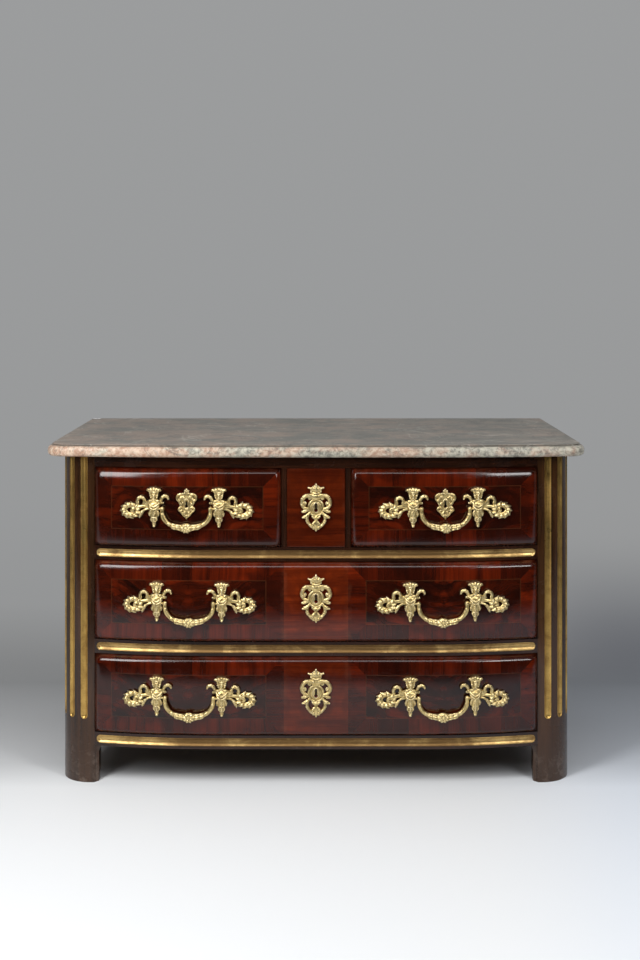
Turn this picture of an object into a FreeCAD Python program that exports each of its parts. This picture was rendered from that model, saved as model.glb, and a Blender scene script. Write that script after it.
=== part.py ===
import FreeCAD, Part
import math
import os
from FreeCAD import Vector

# Carcass. Lengths are in millimetres, +Z is up and the front faces -Y.
carcass_width = 1242.0
carcass_depth = 603.0
foot_height = 90.0
bottom_rail_height = 33.0
bottom_row_height = 191.0
lower_rail_height = 34.0
middle_row_height = 193.0
upper_rail_height = 34.0
top_row_height = 191.0
top_rail_height = 28.0

# Front plan: flat in the middle, falling back in an arc to each stile.
front_bow = 29.0
front_flat = 490.0

# Marble top
marble_thickness = 30.0
marble_side_overhang = 29.0
marble_front_overhang = 32.0
marble_back_overhang = 5.0
marble_bow = 26.0
marble_corner = 44.0
marble_step_height = 4.0
marble_step_width = 5.0
marble_step_round = 1.5
marble_nose_top = 12.0
marble_nose_bottom = 9.0

# Front stiles with their flutes
stile_width = 84.0
stile_depth = 95.0
stile_round = 72.0
flute_angles = (11.0, 39.0, 67.0)
flute_radius = 11.0
flute_depth = 5.0
flute_foot = 162.0
brass_thickness = 1.2
glue_line = 0.3

# Rails and their brass channels
rail_depth = 52.0
tenon_length = 26.0
tenon_thickness = 14.0
tenon_setback = 20.0
tenon_shoulder = 6.0
mortise_room = 1.0
channel_radius = 12.5
channel_depth = 5.0
channel_end = 1.0

# Sides, back and rear frame
rear_stile_width = 60.0
rear_stile_depth = 45.0
panel_thickness = 18.0
panel_recess = 2.0
tongue_length = 10.0
tongue_thickness = 8.0
back_thickness = 12.0
back_rebate = 12.0
back_board_count = 4
back_board_gap = 0.6
rear_rail_height = 50.0
rear_rail_thickness = 24.0

# Foot brackets
bracket_width = 30.0
bracket_toe = 9.0
bracket_thickness = 26.0
bracket_chamfer = 7.0
bracket_setback = 3.0

# Boards, runners and dividers inside the carcass
runner_thickness = 24.0
runner_bearing = 30.0
board_thickness = 10.0
board_tongue = 8.0
guide_height = 26.0
stop_length = 18.0
stop_height = 22.0
stop_gap = 0.5
divider_thickness = 12.0
centre_opening = 142.0
batten_width = 66.0

# Drawers
drawer_reveal = 1.0
drawer_lift = 0.3
drawer_proud = 9.5
drawer_edge_round = 14.0
centre_proud = 2.0
centre_edge_round = 1.5
front_inset = 14.0
side_thickness = 12.0
side_head_room = 7.0
drawer_back_thickness = 10.0
drawer_back_drop = 9.0
drawer_bottom_thickness = 8.0
drawer_bottom_rise = 7.0
drawer_groove = 6.0
tail_count = 3
tail_tip_share = 0.62
tail_root_share = 0.44
tail_length = 12.0

# Locks
lock_width = 84.0
lock_depth = 18.0
lock_below_key = 24.0
lock_wall = 2.0
lock_play = 0.3
lock_pin_radius = 1.6
bolt_width = 36.0
bolt_thickness = 8.0
bolt_height = 52.0
bolt_throw = 8.0
strike_room = 1.5
key_rise = 7.0
centre_key_rise = -2.0
key_round = 3.4
key_slot_width = 3.4
key_slot_height = 11.0

# Handles: a bail hangs between two mounts
handle_share = 0.565
post_spacing = 156.0
bail_gap = 0.3
pin_radius = 2.5
pin_play = 0.05
pin_length = 10.0
bail_span = 116.0
bail_drop = 45.0
bail_shoulder = 36.0
bail_rod = 4.7
bail_knuckle = 5.6
bail_neck = 6.0
boss_length = 32.0
boss_radius = 10.5
boss_collar = 6.5
boss_lead = 0.8
mount_clear = 0.6
mount_seat = 0.05
mount_sink = 4.0
shank_radius = 3.0
shank_drop = 20.0
shank_play = 0.3
shank_tail = 9.0
nut_width = 13.0
nut_thickness = 5.0
nut_play = 0.1

# Handle mount: a leafy baluster with a scroll on each side. Shares of mount_reach are (x, z).
mount_reach = 77.0
baluster_height = 96.0
baluster_tip = 46.0
baluster_girth = 23.0
baluster_out = 7.0
baluster_shares = (
    (0.10, 0.00),
    (0.30, 0.02),
    (0.36, 0.06),
    (0.52, 0.16),
    (0.72, 0.30),
    (0.96, 0.42),
    (1.00, 0.52),
    (0.86, 0.60),
    (0.44, 0.72),
    (0.60, 0.78),
    (0.70, 0.86),
    (1.30, 0.97),
    (1.14, 1.00),
)
shoulder_reach = 14.0
shoulder_radius = 5.0
shoulder_rise = 12.6
crook_shares = ((0.16, 0.16), (0.33, 0.35), (0.44, 0.26))
crook_radius = 3.6
crook_out = 5.0
arch_shares = ((-0.14, 0.13), (-0.35, 0.34), (-0.53, 0.07))
arch_radius = 3.4
arch_out = 4.6
strut_shares = ((-0.10, -0.16), (-0.29, -0.26), (-0.53, -0.21))
strut_radius = 3.4
roundel_shares = (-0.73, -0.08)
roundel_ring = 15.5
roundel_stretch = 10.0
roundel_rod = 5.0
roundel_gap = 0.4
curl_shares = ((-0.68, -0.27), (-0.60, -0.12), (-0.73, -0.05))
curl_rod = 3.6

# Large openwork escutcheon. Shares of plate_reach are (x, z) from the keyhole.
plate_reach = 40.0
oval_width = 36.0
oval_height = 44.0
oval_thickness = 6.0
oval_round = 2.0
finial_height = 33.0
finial_base = 26.0
finial_girth = 17.0
finial_shares = ((0.70, 0.0), (0.62, 0.25), (0.82, 0.42), (0.80, 0.56), (1.90, 0.90), (1.60, 1.0))
finial_out = 5.0
upper_scroll_shares = (0.58, 0.50)
upper_scroll_ring = 12.0
upper_scroll_rod = 4.0
lower_scroll_shares = (0.33, -0.72)
lower_scroll_ring = 11.0
lower_scroll_rod = 3.6
sprig_shares = ((0.40, -0.15), (0.68, -0.12), (0.90, -0.30))
sprig_rod = 3.2
pendant_top = 38.0
pendant_height = 17.0
pendant_girth = 15.0
pendant_shares = ((0.9, 0.0), (1.0, 0.2), (0.55, 0.6), (0.3, 0.85), (0.2, 1.0))
scroll_out = 4.2

# Small cartouche escutcheon, half its outline from the top down
cartouche_width = 50.0
cartouche_height = 75.0
cartouche_above = 40.0
cartouche_thickness = 5.0
cartouche_round = 1.6
cartouche_shares = (
    (0.08, 0.00),
    (0.30, 0.09),
    (0.42, 0.17),
    (0.86, 0.19),
    (1.00, 0.28),
    (0.86, 0.38),
    (0.74, 0.48),
    (0.72, 0.58),
    (0.76, 0.66),
    (0.50, 0.76),
    (0.34, 0.86),
    (0.12, 1.00),
)

overrun = 20.0
hair = 0.001

# Levels and lines that follow from the sizes above
half_width = carcass_width / 2
opening_half = half_width - stile_width
flat_half = front_flat / 2
bottom_floor = foot_height + bottom_rail_height
bottom_ceiling = bottom_floor + bottom_row_height
middle_floor = bottom_ceiling + lower_rail_height
middle_ceiling = middle_floor + middle_row_height
top_floor = middle_ceiling + upper_rail_height
top_ceiling = top_floor + top_row_height
carcass_top = top_ceiling + top_rail_height
marble_depth = carcass_depth + marble_front_overhang + marble_back_overhang
marble_half = half_width + marble_side_overhang
front_y = marble_front_overhang - marble_depth / 2
end_y = front_y + front_bow
back_y = front_y + carcass_depth
rail_back = end_y + rail_depth
stile_back = end_y + stile_depth
rear_stile_front = back_y - rear_stile_depth
rear_stile_inner = half_width - rear_stile_width
back_front = back_y - back_thickness
rear_rail_front = back_front - rear_rail_thickness
panel_outer = half_width - panel_recess
panel_inner = panel_outer - panel_thickness
runner_inner = opening_half - runner_bearing
divider_inner = centre_opening / 2
divider_outer = divider_inner + divider_thickness
bow_reach = opening_half - flat_half
bow_radius = (bow_reach**2 + front_bow**2) / (2 * front_bow)
bow_centre_y = front_y + bow_radius
front_back = end_y + front_inset
drawer_back = rear_rail_front - stop_length


def block(x0, x1, y0, y1, z0, z1):
    return Part.makeBox(x1 - x0, y1 - y0, z1 - z0, Vector(x0, y0, z0))


def line(a, b):
    return Part.LineSegment(a, b).toShape()


def arc(a, middle, b):
    return Part.Arc(a, middle, b).toShape()


def mirrored(shape):
    return shape.mirror(Vector(0, 0, 0), Vector(1, 0, 0))


def fused(shapes):
    whole = shapes[0].fuse(shapes[1:]) if len(shapes) > 1 else shapes[0]
    return whole.removeSplitter()


def group(shapes):
    solids = [solid for shape in shapes for solid in shape.Solids]
    return solids[0] if len(solids) == 1 else Part.makeCompound(solids)


def front_at(x, proud):
    """The front's y at x, a distance proud of the rails."""
    reach = abs(x) - flat_half
    if reach <= 0:
        return front_y - proud
    return bow_centre_y - math.sqrt((bow_radius + proud) ** 2 - reach**2)


def front_turn(x):
    """The angle by which the front's outward normal at x turns away from -Y."""
    reach = max(abs(x) - flat_half, 0)
    return math.copysign(math.degrees(math.asin(reach / bow_radius)), x)


def front_edges(x0, x1, proud, z):
    stops = [x0] + [s for s in (-flat_half, flat_half) if x0 < s < x1] + [x1]
    edges = []
    for a, b in zip(stops, stops[1:]):
        middle = (a + b) / 2
        first, between, last = (Vector(x, front_at(x, proud), z) for x in (a, middle, b))
        flat = abs(middle) < flat_half
        edges.append(line(first, last) if flat else arc(first, between, last))
    return edges


def bowed_block(x0, x1, proud, y_back, z0, z1):
    """A block whose front follows the bow."""
    left = Vector(x0, y_back, z0)
    right = Vector(x1, y_back, z0)
    first = Vector(x0, front_at(x0, proud), z0)
    last = Vector(x1, front_at(x1, proud), z0)
    edges = front_edges(x0, x1, proud, z0)
    edges += [line(last, right), line(right, left), line(left, first)]
    return Part.Face(Part.Wire(edges)).extrude(Vector(0, 0, z1 - z0))


def round_front(shape, proud, radius):
    """Rounds over the edges around a bowed front face."""
    edges = []
    for edge in shape.Edges:
        on_front = all(abs(v.Y - front_at(v.X, proud)) < hair for v in edge.Vertexes)
        ends = edge.Vertexes
        seam = abs(ends[0].X - ends[-1].X) < hair and abs(abs(ends[0].X) - flat_half) < hair
        if on_front and not seam:
            edges.append(edge)
    return shape.makeFillet(radius, edges)


# Marble top


def marble_slab(inset, z0, z1):
    side = marble_half - inset
    front = front_y - marble_front_overhang + inset
    corner = marble_corner - inset
    reach = marble_half - flat_half
    radius = (reach**2 + marble_bow**2) / (2 * marble_bow)
    centre_y = front + radius
    corner_x = side - corner
    corner_y = centre_y - math.sqrt((radius - corner) ** 2 - (corner_x - flat_half) ** 2)
    turn = math.atan2(corner_x - flat_half, centre_y - corner_y)
    back = marble_depth / 2

    def on_arc(angle):
        return Vector(flat_half + radius * math.sin(angle), centre_y - radius * math.cos(angle), z0)

    def on_corner(angle):
        return Vector(corner_x + corner * math.sin(angle), corner_y - corner * math.cos(angle), z0)

    square = math.pi / 2
    half = [
        arc(on_arc(0), on_arc(turn / 2), on_arc(turn)),
        arc(on_corner(turn), on_corner((turn + square) / 2), on_corner(square)),
        line(on_corner(square), Vector(side, back, z0)),
    ]
    other = [mirrored(edge) for edge in half]
    flat = line(on_arc(0), Vector(-flat_half, front, z0))
    rear = line(Vector(side, back, z0), Vector(-side, back, z0))
    wire = Part.Wire(Part.__sortEdges__(half + other + [flat, rear]))
    return Part.Face(wire).extrude(Vector(0, 0, z1 - z0))


def rim_edges(shape, z):
    back = marble_depth / 2
    flat = [e for e in shape.Edges if all(abs(v.Z - z) < hair for v in e.Vertexes)]
    return [e for e in flat if not all(abs(v.Y - back) < hair for v in e.Vertexes)]


def marble_top():
    step = carcass_top + marble_thickness - marble_step_height
    lower = marble_slab(0, carcass_top, step)
    lower = lower.makeFillet(marble_nose_top, rim_edges(lower, step))
    lower = lower.makeFillet(marble_nose_bottom, rim_edges(lower, carcass_top))
    inset = marble_nose_top / 2 + marble_step_width
    upper = marble_slab(inset, step, carcass_top + marble_thickness)
    upper = upper.makeFillet(marble_step_round, rim_edges(upper, carcass_top + marble_thickness))
    return fused([lower, upper])


# Front stiles: the right one is built, the left one is its mirror image.


def stile_blank():
    centre = Vector(half_width - stile_round, end_y + stile_round, 0)
    lean = stile_round * math.sqrt(0.5)
    side = Vector(half_width, centre.y, 0)
    front = Vector(centre.x, end_y, 0)
    inner = Vector(opening_half, end_y, 0)
    inner_back = Vector(opening_half, stile_back, 0)
    outer_back = Vector(half_width, stile_back, 0)
    edges = [
        arc(side, Vector(centre.x + lean, centre.y - lean, 0), front),
        line(front, inner),
        line(inner, inner_back),
        line(inner_back, outer_back),
        line(outer_back, side),
    ]
    return Part.Face(Part.Wire(edges)).extrude(Vector(0, 0, carcass_top))


def flutes(radius):
    out = stile_round + flute_radius - flute_depth
    tools = []
    for angle in flute_angles:
        turn = math.radians(angle)
        x = half_width - stile_round + out * math.sin(turn)
        y = end_y + stile_round - out * math.cos(turn)
        foot = Vector(x, y, flute_foot)
        shaft = Part.makeCylinder(radius, carcass_top - flute_foot + overrun, foot)
        tools.append(fused([shaft, Part.makeSphere(radius, foot)]))
    return tools


def stile_brass():
    blank = stile_blank()
    outer = flutes(flute_radius - glue_line)
    inner = flutes(flute_radius - glue_line - brass_thickness)
    return group([blank.common(o.cut(i)) for o, i in zip(outer, inner)])


def tenons(z0, z1):
    """The two tenons of a front rail, left and right."""
    y0 = end_y + tenon_setback
    z_low = z0 + tenon_shoulder
    z_high = z1 - tenon_shoulder
    right = block(opening_half, opening_half + tenon_length, y0, y0 + tenon_thickness, z_low, z_high)
    return [right, mirrored(right)]


def mortise(z0, z1):
    y0 = end_y + tenon_setback
    x1 = opening_half + tenon_length + mortise_room
    return block(opening_half, x1, y0, y0 + tenon_thickness, z0 + tenon_shoulder, z1 - tenon_shoulder)


rail_levels = {
    "bottom_rail": (foot_height, bottom_floor),
    "lower_rail": (bottom_ceiling, middle_floor),
    "upper_rail": (middle_ceiling, top_floor),
    "top_rail": (top_ceiling, carcass_top),
}


def side_panel():
    tongue_x = (panel_inner + panel_outer - tongue_thickness) / 2
    body = block(panel_inner, panel_outer, stile_back, rear_stile_front, foot_height, carcass_top)
    y0 = stile_back - tongue_length
    y1 = rear_stile_front + tongue_length
    tongue = block(tongue_x, tongue_x + tongue_thickness, y0, y1, foot_height, carcass_top)
    return fused([body, tongue])


def front_stile():
    tools = flutes(flute_radius)
    tools += [mortise(*levels) for levels in rail_levels.values()]
    tools.append(side_panel())
    return stile_blank().cut(tools)


def rear_post():
    return block(rear_stile_inner, half_width, rear_stile_front, back_y, 0, carcass_top)


def rear_stile():
    rebate_x = rear_stile_inner + back_rebate
    rebate = block(rear_stile_inner, rebate_x, back_front, back_y, foot_height, carcass_top)
    return rear_post().cut([rebate, side_panel(), rear_tenon(foot_height), rear_tenon(rear_top())])


def rear_top():
    return carcass_top - rear_rail_height


def rear_tenon(z0):
    y0 = rear_rail_front + (rear_rail_thickness - tenon_thickness) / 2
    x1 = rear_stile_inner + tenon_length
    z1 = z0 + rear_rail_height
    return block(rear_stile_inner, x1, y0, y0 + tenon_thickness, z0 + tenon_shoulder, z1 - tenon_shoulder)


def rear_rails():
    rails = []
    for z0 in (foot_height, rear_top()):
        z1 = z0 + rear_rail_height
        bar = block(-rear_stile_inner, rear_stile_inner, rear_rail_front, back_front, z0, z1)
        rails.append(fused([bar, rear_tenon(z0), mirrored(rear_tenon(z0))]))
    return group(rails)


def back_boards():
    reach = rear_stile_inner + back_rebate
    pitch = 2 * reach / back_board_count
    boards = []
    for i in range(back_board_count):
        x0 = -reach + i * pitch
        x1 = x0 + pitch - back_board_gap
        boards.append(block(x0, x1, back_front, back_y, foot_height, carcass_top))
    return group(boards)


# Rails. A brass-lined channel follows the bow of each but the topmost.


channel_out = channel_radius - channel_depth
channel_y = front_y - channel_out
channel_reach = opening_half - channel_end - channel_radius - flat_half
channel_turn = math.degrees(math.asin(channel_reach / (bow_radius + channel_out)))
bow_centre = Vector(flat_half, bow_centre_y, 0)


def on_channel(radius, angle, level):
    return Vector(flat_half, channel_y + radius * math.cos(angle), level + radius * math.sin(angle))


def channel_arc(radius, start, level):
    """From the lower lip where start is -1, or from the middle where it is 0, to the upper lip."""
    lip = math.acos(channel_out / radius)
    angles = (start * lip, (start + 1) / 2 * lip, lip)
    return [on_channel(radius, angle, level) for angle in angles]


def along_channel(section, level):
    """Carries a section along a rail's channel and turns its upper half round at each end."""
    straight = section(-1).extrude(Vector(-front_flat, 0, 0))
    curve = section(-1).revolve(bow_centre, Vector(0, 0, 1), channel_turn)
    end = section(0).revolve(Vector(flat_half, channel_y, level), Vector(0, 1, 0), 180)
    end.rotate(bow_centre, Vector(0, 0, 1), channel_turn)
    right = [curve, end]
    return fused([straight] + right + [mirrored(shape) for shape in right])


def channel(level):
    def section(start):
        low, middle, high = channel_arc(channel_radius, start, level)
        fore = Vector(flat_half, high.y - overrun, high.z)
        under = Vector(flat_half, fore.y, low.z)
        edges = [arc(low, middle, high), line(high, fore), line(fore, under), line(under, low)]
        return Part.Face(Part.Wire(edges))

    return along_channel(section, level)


def lining(level):
    outer = channel_radius - glue_line
    inner = outer - brass_thickness

    def section(start):
        low, middle, high = channel_arc(outer, start, level)
        inner_low, inner_middle, inner_high = channel_arc(inner, start, level)
        edges = [
            arc(low, middle, high),
            line(high, inner_high),
            arc(inner_high, inner_middle, inner_low),
            line(inner_low, low),
        ]
        return Part.Face(Part.Wire(edges))

    return along_channel(section, level)


def rail_blank(name):
    z0, z1 = rail_levels[name]
    return bowed_block(-opening_half, opening_half, 0, rail_back, z0, z1)


def rail(name, more):
    z0, z1 = rail_levels[name]
    tools = list(more)
    if name != "top_rail":
        tools.append(channel((z0 + z1) / 2))
    return fused([rail_blank(name)] + tenons(z0, z1)).cut(tools)


def rail_brass():
    rails = ("bottom_rail", "lower_rail", "upper_rail")
    return group([lining(sum(rail_levels[name]) / 2) for name in rails])


# Foot brackets: each has a concave curve that runs from the foot up to the rail or side.


def bracket_profile():
    """The outline across the foot, from the foot's face inward, in the XZ plane."""
    curve = bracket_width - bracket_toe
    lean = curve * math.sqrt(0.5)
    centre = Vector(-bracket_width, 0, foot_height - curve)
    toe = Vector(-bracket_toe, 0, 0)
    spring = Vector(-bracket_toe, 0, centre.z)
    crown = Vector(-bracket_width, 0, foot_height)
    edges = [
        line(Vector(0, 0, 0), toe),
        line(toe, spring),
        arc(spring, Vector(centre.x + lean, 0, centre.z + lean), crown),
        line(crown, Vector(0, 0, foot_height)),
        line(Vector(0, 0, foot_height), Vector(0, 0, 0)),
    ]
    return Part.Face(Part.Wire(edges))


def foot_brackets():
    front = bracket_profile().extrude(Vector(0, bracket_thickness, 0))
    centres = [(edge, edge.CenterOfMass) for edge in front.Edges]
    nose = [e for e, at in centres if abs(at.y) < hair and abs(at.x + bracket_toe) < hair]
    front = front.makeChamfer(bracket_chamfer, nose)
    front.translate(Vector(opening_half, end_y + bracket_setback, 0))
    side = bracket_profile().extrude(Vector(0, panel_thickness, 0))
    fore = side.copy()
    fore.rotate(Vector(0, 0, 0), Vector(0, 0, 1), -90)
    fore.translate(Vector(panel_inner, stile_back, 0))
    aft = side.copy()
    aft.rotate(Vector(0, 0, 0), Vector(0, 0, 1), 90)
    aft.translate(Vector(panel_outer, rear_stile_front, 0))
    right = [front, fore, aft]
    return group(right + [mirrored(shape) for shape in right])


# Dust boards, runners, guides, stops, dividers and battens


def board_level(floor):
    return floor - (runner_thickness + board_thickness) / 2


def board_back(floor):
    """Where boards and runners end: at the back boards, or at the rear rail in front of them."""
    return rear_rail_front if floor == bottom_floor else back_front


def dust_board(floor):
    z0 = board_level(floor)
    z1 = z0 + board_thickness
    reach = runner_inner + board_tongue
    return block(-reach, reach, rail_back - board_tongue, board_back(floor), z0, z1)


def runner(floor):
    """A side runner with its guide and its stop, on the right."""
    z0 = floor - runner_thickness
    bed = block(runner_inner, panel_inner, rail_back, board_back(floor), z0, floor)
    bed = bed.cut([stile_blank(), rear_post(), dust_board(floor)])
    guide = block(opening_half, panel_inner, stile_back, rear_stile_front, floor, floor + guide_height)
    y0 = drawer_back + stop_gap
    stop = block(runner_inner, opening_half, y0, rear_rail_front, floor, floor + stop_height)
    return [bed, guide, stop]


def drawer_runners():
    right = []
    for floor in (bottom_floor, middle_floor, top_floor):
        right += runner(floor)
    middle = (divider_inner + divider_outer) / 2
    x0 = middle - batten_width / 2
    x1 = middle + batten_width / 2
    z0 = board_level(top_floor) + board_thickness
    right.append(block(x0, x1, rail_back, back_front, z0, top_floor))
    y0 = drawer_back + stop_gap
    for a, b in ((x0, divider_inner), (divider_outer, x1)):
        right.append(block(a, b, y0, rear_rail_front, top_floor, top_floor + stop_height))
    return group(right + [mirrored(shape) for shape in right])


def divider():
    return bowed_block(divider_inner, divider_outer, 0, rear_rail_front, top_floor, top_ceiling)


def top_battens():
    middle = (divider_inner + divider_outer) / 2
    x0 = middle - batten_width / 2
    inner = block(x0, x0 + batten_width, rail_back, rear_rail_front, top_ceiling, carcass_top)
    outer = block(runner_inner, panel_inner, rail_back, rear_rail_front, top_ceiling, carcass_top)
    right = [inner, outer.cut([stile_blank(), rear_post()])]
    return group(right + [mirrored(shape) for shape in right])


# Gilt mounts. Each is made around its own middle with its back towards +Y, then set on the front.


def rod(shares, reach, radius, out):
    """A round rod along an arc through three (x, z) shares of a reach, with rounded ends."""
    first, middle, last = (Vector(x * reach, -out, z * reach) for x, z in shares)
    path = Part.Wire(arc(first, middle, last))
    tangent = path.Edges[0].tangentAt(path.Edges[0].FirstParameter)
    hoop = Part.Wire(Part.Circle(first, tangent, radius).toShape())
    ends = [Part.makeSphere(radius, point) for point in (first, last)]
    return fused([path.makePipeShell([hoop], True, True)] + ends)


def turned(shares, girth, height, base, out, upward):
    """A turned upright body from (radius, height) shares."""
    sign = 1 if upward else -1
    points = [Vector(0, -out, base)]
    points += [Vector(r * girth / 2, -out, base + sign * h * height) for r, h in shares]
    points.append(Vector(0, -out, base + sign * height))
    outline = Part.Wire(Part.makePolygon(points + [points[0]]))
    return Part.Face(outline).revolve(Vector(0, -out, 0), Vector(0, 0, 1), 360)


def ring(shares, radius, thick):
    centre = Vector(shares[0] * plate_reach, -scroll_out, shares[1] * plate_reach)
    return Part.makeTorus(radius, thick, centre, Vector(0, 1, 0))


def oval():
    """A flat upright oval with a rounded front edge, sunk behind the seat."""
    face = Part.Face(Part.Wire(Part.Ellipse(Vector(0, 0, 0), oval_height / 2, oval_width / 2).toShape()))
    face.rotate(Vector(0, 0, 0), Vector(0, 0, 1), 90)
    face.rotate(Vector(0, 0, 0), Vector(1, 0, 0), 90)
    face.translate(Vector(0, mount_sink, 0))
    solid = face.extrude(Vector(0, -oval_thickness - mount_sink, 0))
    front = [edge for edge in solid.Edges if edge.BoundBox.YMax < hair - oval_thickness]
    return solid.makeFillet(oval_round, front)


def roundel():
    """An oval ring of round rod."""
    x = roundel_shares[0] * mount_reach
    z = roundel_shares[1] * mount_reach
    low = z - roundel_ring
    high = z + roundel_ring
    left = x - roundel_stretch / 2
    right = x + roundel_stretch / 2

    def at(x, z):
        return Vector(x, -roundel_rod - roundel_gap, z)

    path = Part.Wire(
        [
            line(at(left, low), at(right, low)),
            arc(at(right, low), at(right + roundel_ring, z), at(right, high)),
            line(at(right, high), at(left, high)),
            arc(at(left, high), at(left - roundel_ring, z), at(left, low)),
        ]
    )
    hoop = Part.Wire(Part.Circle(at(left, low), Vector(1, 0, 0), roundel_rod).toShape())
    return path.makePipeShell([hoop], True, True)


def handle_mount():
    """The mount on the left of a handle, its inner side towards +X."""
    body = turned(
        baluster_shares, baluster_girth, baluster_height, -baluster_tip, baluster_out, True
    )
    left = Vector(-shoulder_reach, -baluster_out, shoulder_rise)
    right = Vector(shoulder_reach, -baluster_out, shoulder_rise)
    bar = Part.makeCylinder(shoulder_radius, 2 * shoulder_reach, left, Vector(1, 0, 0))
    pieces = [
        body,
        bar,
        Part.makeSphere(shoulder_radius, left),
        Part.makeSphere(shoulder_radius, right),
        rod(crook_shares, mount_reach, crook_radius, crook_out),
        rod(arch_shares, mount_reach, arch_radius, arch_out),
        rod(strut_shares, mount_reach, strut_radius, arch_out),
        roundel(),
        rod(curl_shares, mount_reach, curl_rod, arch_out),
    ]
    return fused(pieces)


def large_escutcheon():
    half = [
        ring(upper_scroll_shares, upper_scroll_ring, upper_scroll_rod),
        ring(lower_scroll_shares, lower_scroll_ring, lower_scroll_rod),
        rod(sprig_shares, plate_reach, sprig_rod, scroll_out),
    ]
    pieces = [
        oval(),
        turned(finial_shares, finial_girth, finial_height, finial_base, finial_out, True),
        turned(pendant_shares, pendant_girth, pendant_height, -pendant_top, scroll_out, False),
    ]
    neck = Part.makeCylinder(scroll_out, finial_base, Vector(0, -scroll_out, 0))
    pieces.append(neck)
    return fused(pieces + half + [mirrored(shape) for shape in half])


def small_escutcheon():
    points = []
    for across, down in cartouche_shares:
        z = cartouche_above - down * cartouche_height
        points.append(Vector(across * cartouche_width / 2, mount_sink, z))
    right = Part.BSplineCurve()
    right.interpolate(points)
    side = right.toShape()
    top = line(points[0], Vector(-points[0].x, mount_sink, points[0].z))
    foot = line(points[-1], Vector(-points[-1].x, mount_sink, points[-1].z))
    outline = Part.Wire(Part.__sortEdges__([side, mirrored(side), top, foot]))
    plate = Part.Face(outline).extrude(Vector(0, -cartouche_thickness - mount_sink, 0))
    front = [e for e in plate.Edges if e.BoundBox.YMax < hair - cartouche_thickness]
    return plate.makeChamfer(cartouche_round, front)


def set_on_front(shape, x, z, proud):
    """Turns a mount to the front's slope at x and sets it down there."""
    placed = shape.copy()
    placed.rotate(Vector(0, 0, 0), Vector(0, 0, 1), front_turn(x))
    placed.translate(Vector(x, front_at(x, proud), z))
    return placed


def key_tool(x, z):
    """The keyhole right through: a round eye with a slot above it."""
    y0 = front_y - drawer_proud - overrun
    length = front_back - lock_depth + lock_wall + lock_play + hair - y0
    eye = Part.makeCylinder(key_round, length, Vector(x, y0, z), Vector(0, 1, 0))
    half = key_slot_width / 2
    slot = block(x - half, x + half, y0, y0 + length, z, z + key_slot_height)
    return eye.fuse(slot)


def handle_frame(x):
    """The bail's middle y and the turn of its pivot line, where its boss just clears the front."""
    left = x - post_spacing / 2
    right = x + post_spacing / 2
    slope = math.atan2(front_at(right, drawer_proud) - front_at(left, drawer_proud), post_spacing)
    clear = boss_radius - boss_lead + bail_gap
    y = front_at(x, drawer_proud) - clear / math.cos(slope)
    return y, math.degrees(slope)


def in_handle_frame(shape, x, z):
    y, turn = handle_frame(x)
    placed = shape.copy()
    placed.rotate(Vector(0, 0, 0), Vector(0, 0, 1), turn)
    placed.translate(Vector(x, y, z))
    return placed


def bail():
    """A bail around the middle of its pivot line, hanging in the XZ plane."""
    half = bail_span / 2
    drop = bail_drop - bail_neck
    side = half - bail_shoulder
    low = (side**2 + drop**2 - bail_shoulder**2) / (2 * (drop - bail_shoulder))
    turn = math.atan2(side, low - drop)
    lower_z = -bail_neck - drop + low

    def on_low(angle):
        return Vector(low * math.sin(angle), 0, lower_z - low * math.cos(angle))

    def on_side(angle):
        x = side + bail_shoulder * math.sin(angle)
        return Vector(x, 0, -bail_neck - bail_shoulder * math.cos(angle))

    square = math.pi / 2
    right = [
        arc(on_side(turn), on_side((turn + square) / 2), on_side(square)),
        line(on_side(square), Vector(half, 0, 0)),
    ]
    edges = [arc(on_low(-turn), on_low(0), on_low(turn))]
    edges += right + [mirrored(edge) for edge in right]
    path = Part.Wire(Part.__sortEdges__(edges))
    start = path.OrderedVertexes[0].Point
    hoop = Part.Wire(Part.Circle(start, Vector(0, 0, 1), bail_rod).toShape())
    pieces = [path.makePipeShell([hoop], True, True)]
    for sign in (-1, 1):
        knuckle = Vector(sign * half, 0, 0)
        pieces.append(Part.makeSphere(bail_knuckle, knuckle))
        pieces.append(Part.makeCylinder(pin_radius, bail_knuckle + pin_length, knuckle, Vector(sign, 0, 0)))
    boss = Vector(0, -boss_lead, -bail_drop)
    x = boss_length / 2
    ends = boss_collar / boss_radius
    profile = [
        Vector(-x, 0, 0),
        Vector(-x, 0, boss_collar),
        Vector(-x * ends, 0, boss_radius),
        Vector(x * ends, 0, boss_radius),
        Vector(x, 0, boss_collar),
        Vector(x, 0, 0),
        Vector(-x, 0, 0),
    ]
    knob = Part.Face(Part.makePolygon(profile)).revolve(Vector(0, 0, 0), Vector(1, 0, 0), 360)
    knob.translate(boss)
    return fused(pieces + [knob])


def pivot_tool():
    """Bores for the bail's pins, and room for its knuckles."""
    half = bail_span / 2
    reach = half + bail_knuckle + pin_length + mount_clear
    start = Vector(-reach, 0, 0)
    bore = Part.makeCylinder(pin_radius + pin_play, 2 * reach, start, Vector(1, 0, 0))
    room = bail_knuckle + mount_clear
    clear = Part.makeCylinder(room, 2 * (half + room), Vector(-half - room, 0, 0), Vector(1, 0, 0))
    return bore.fuse(clear)


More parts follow.
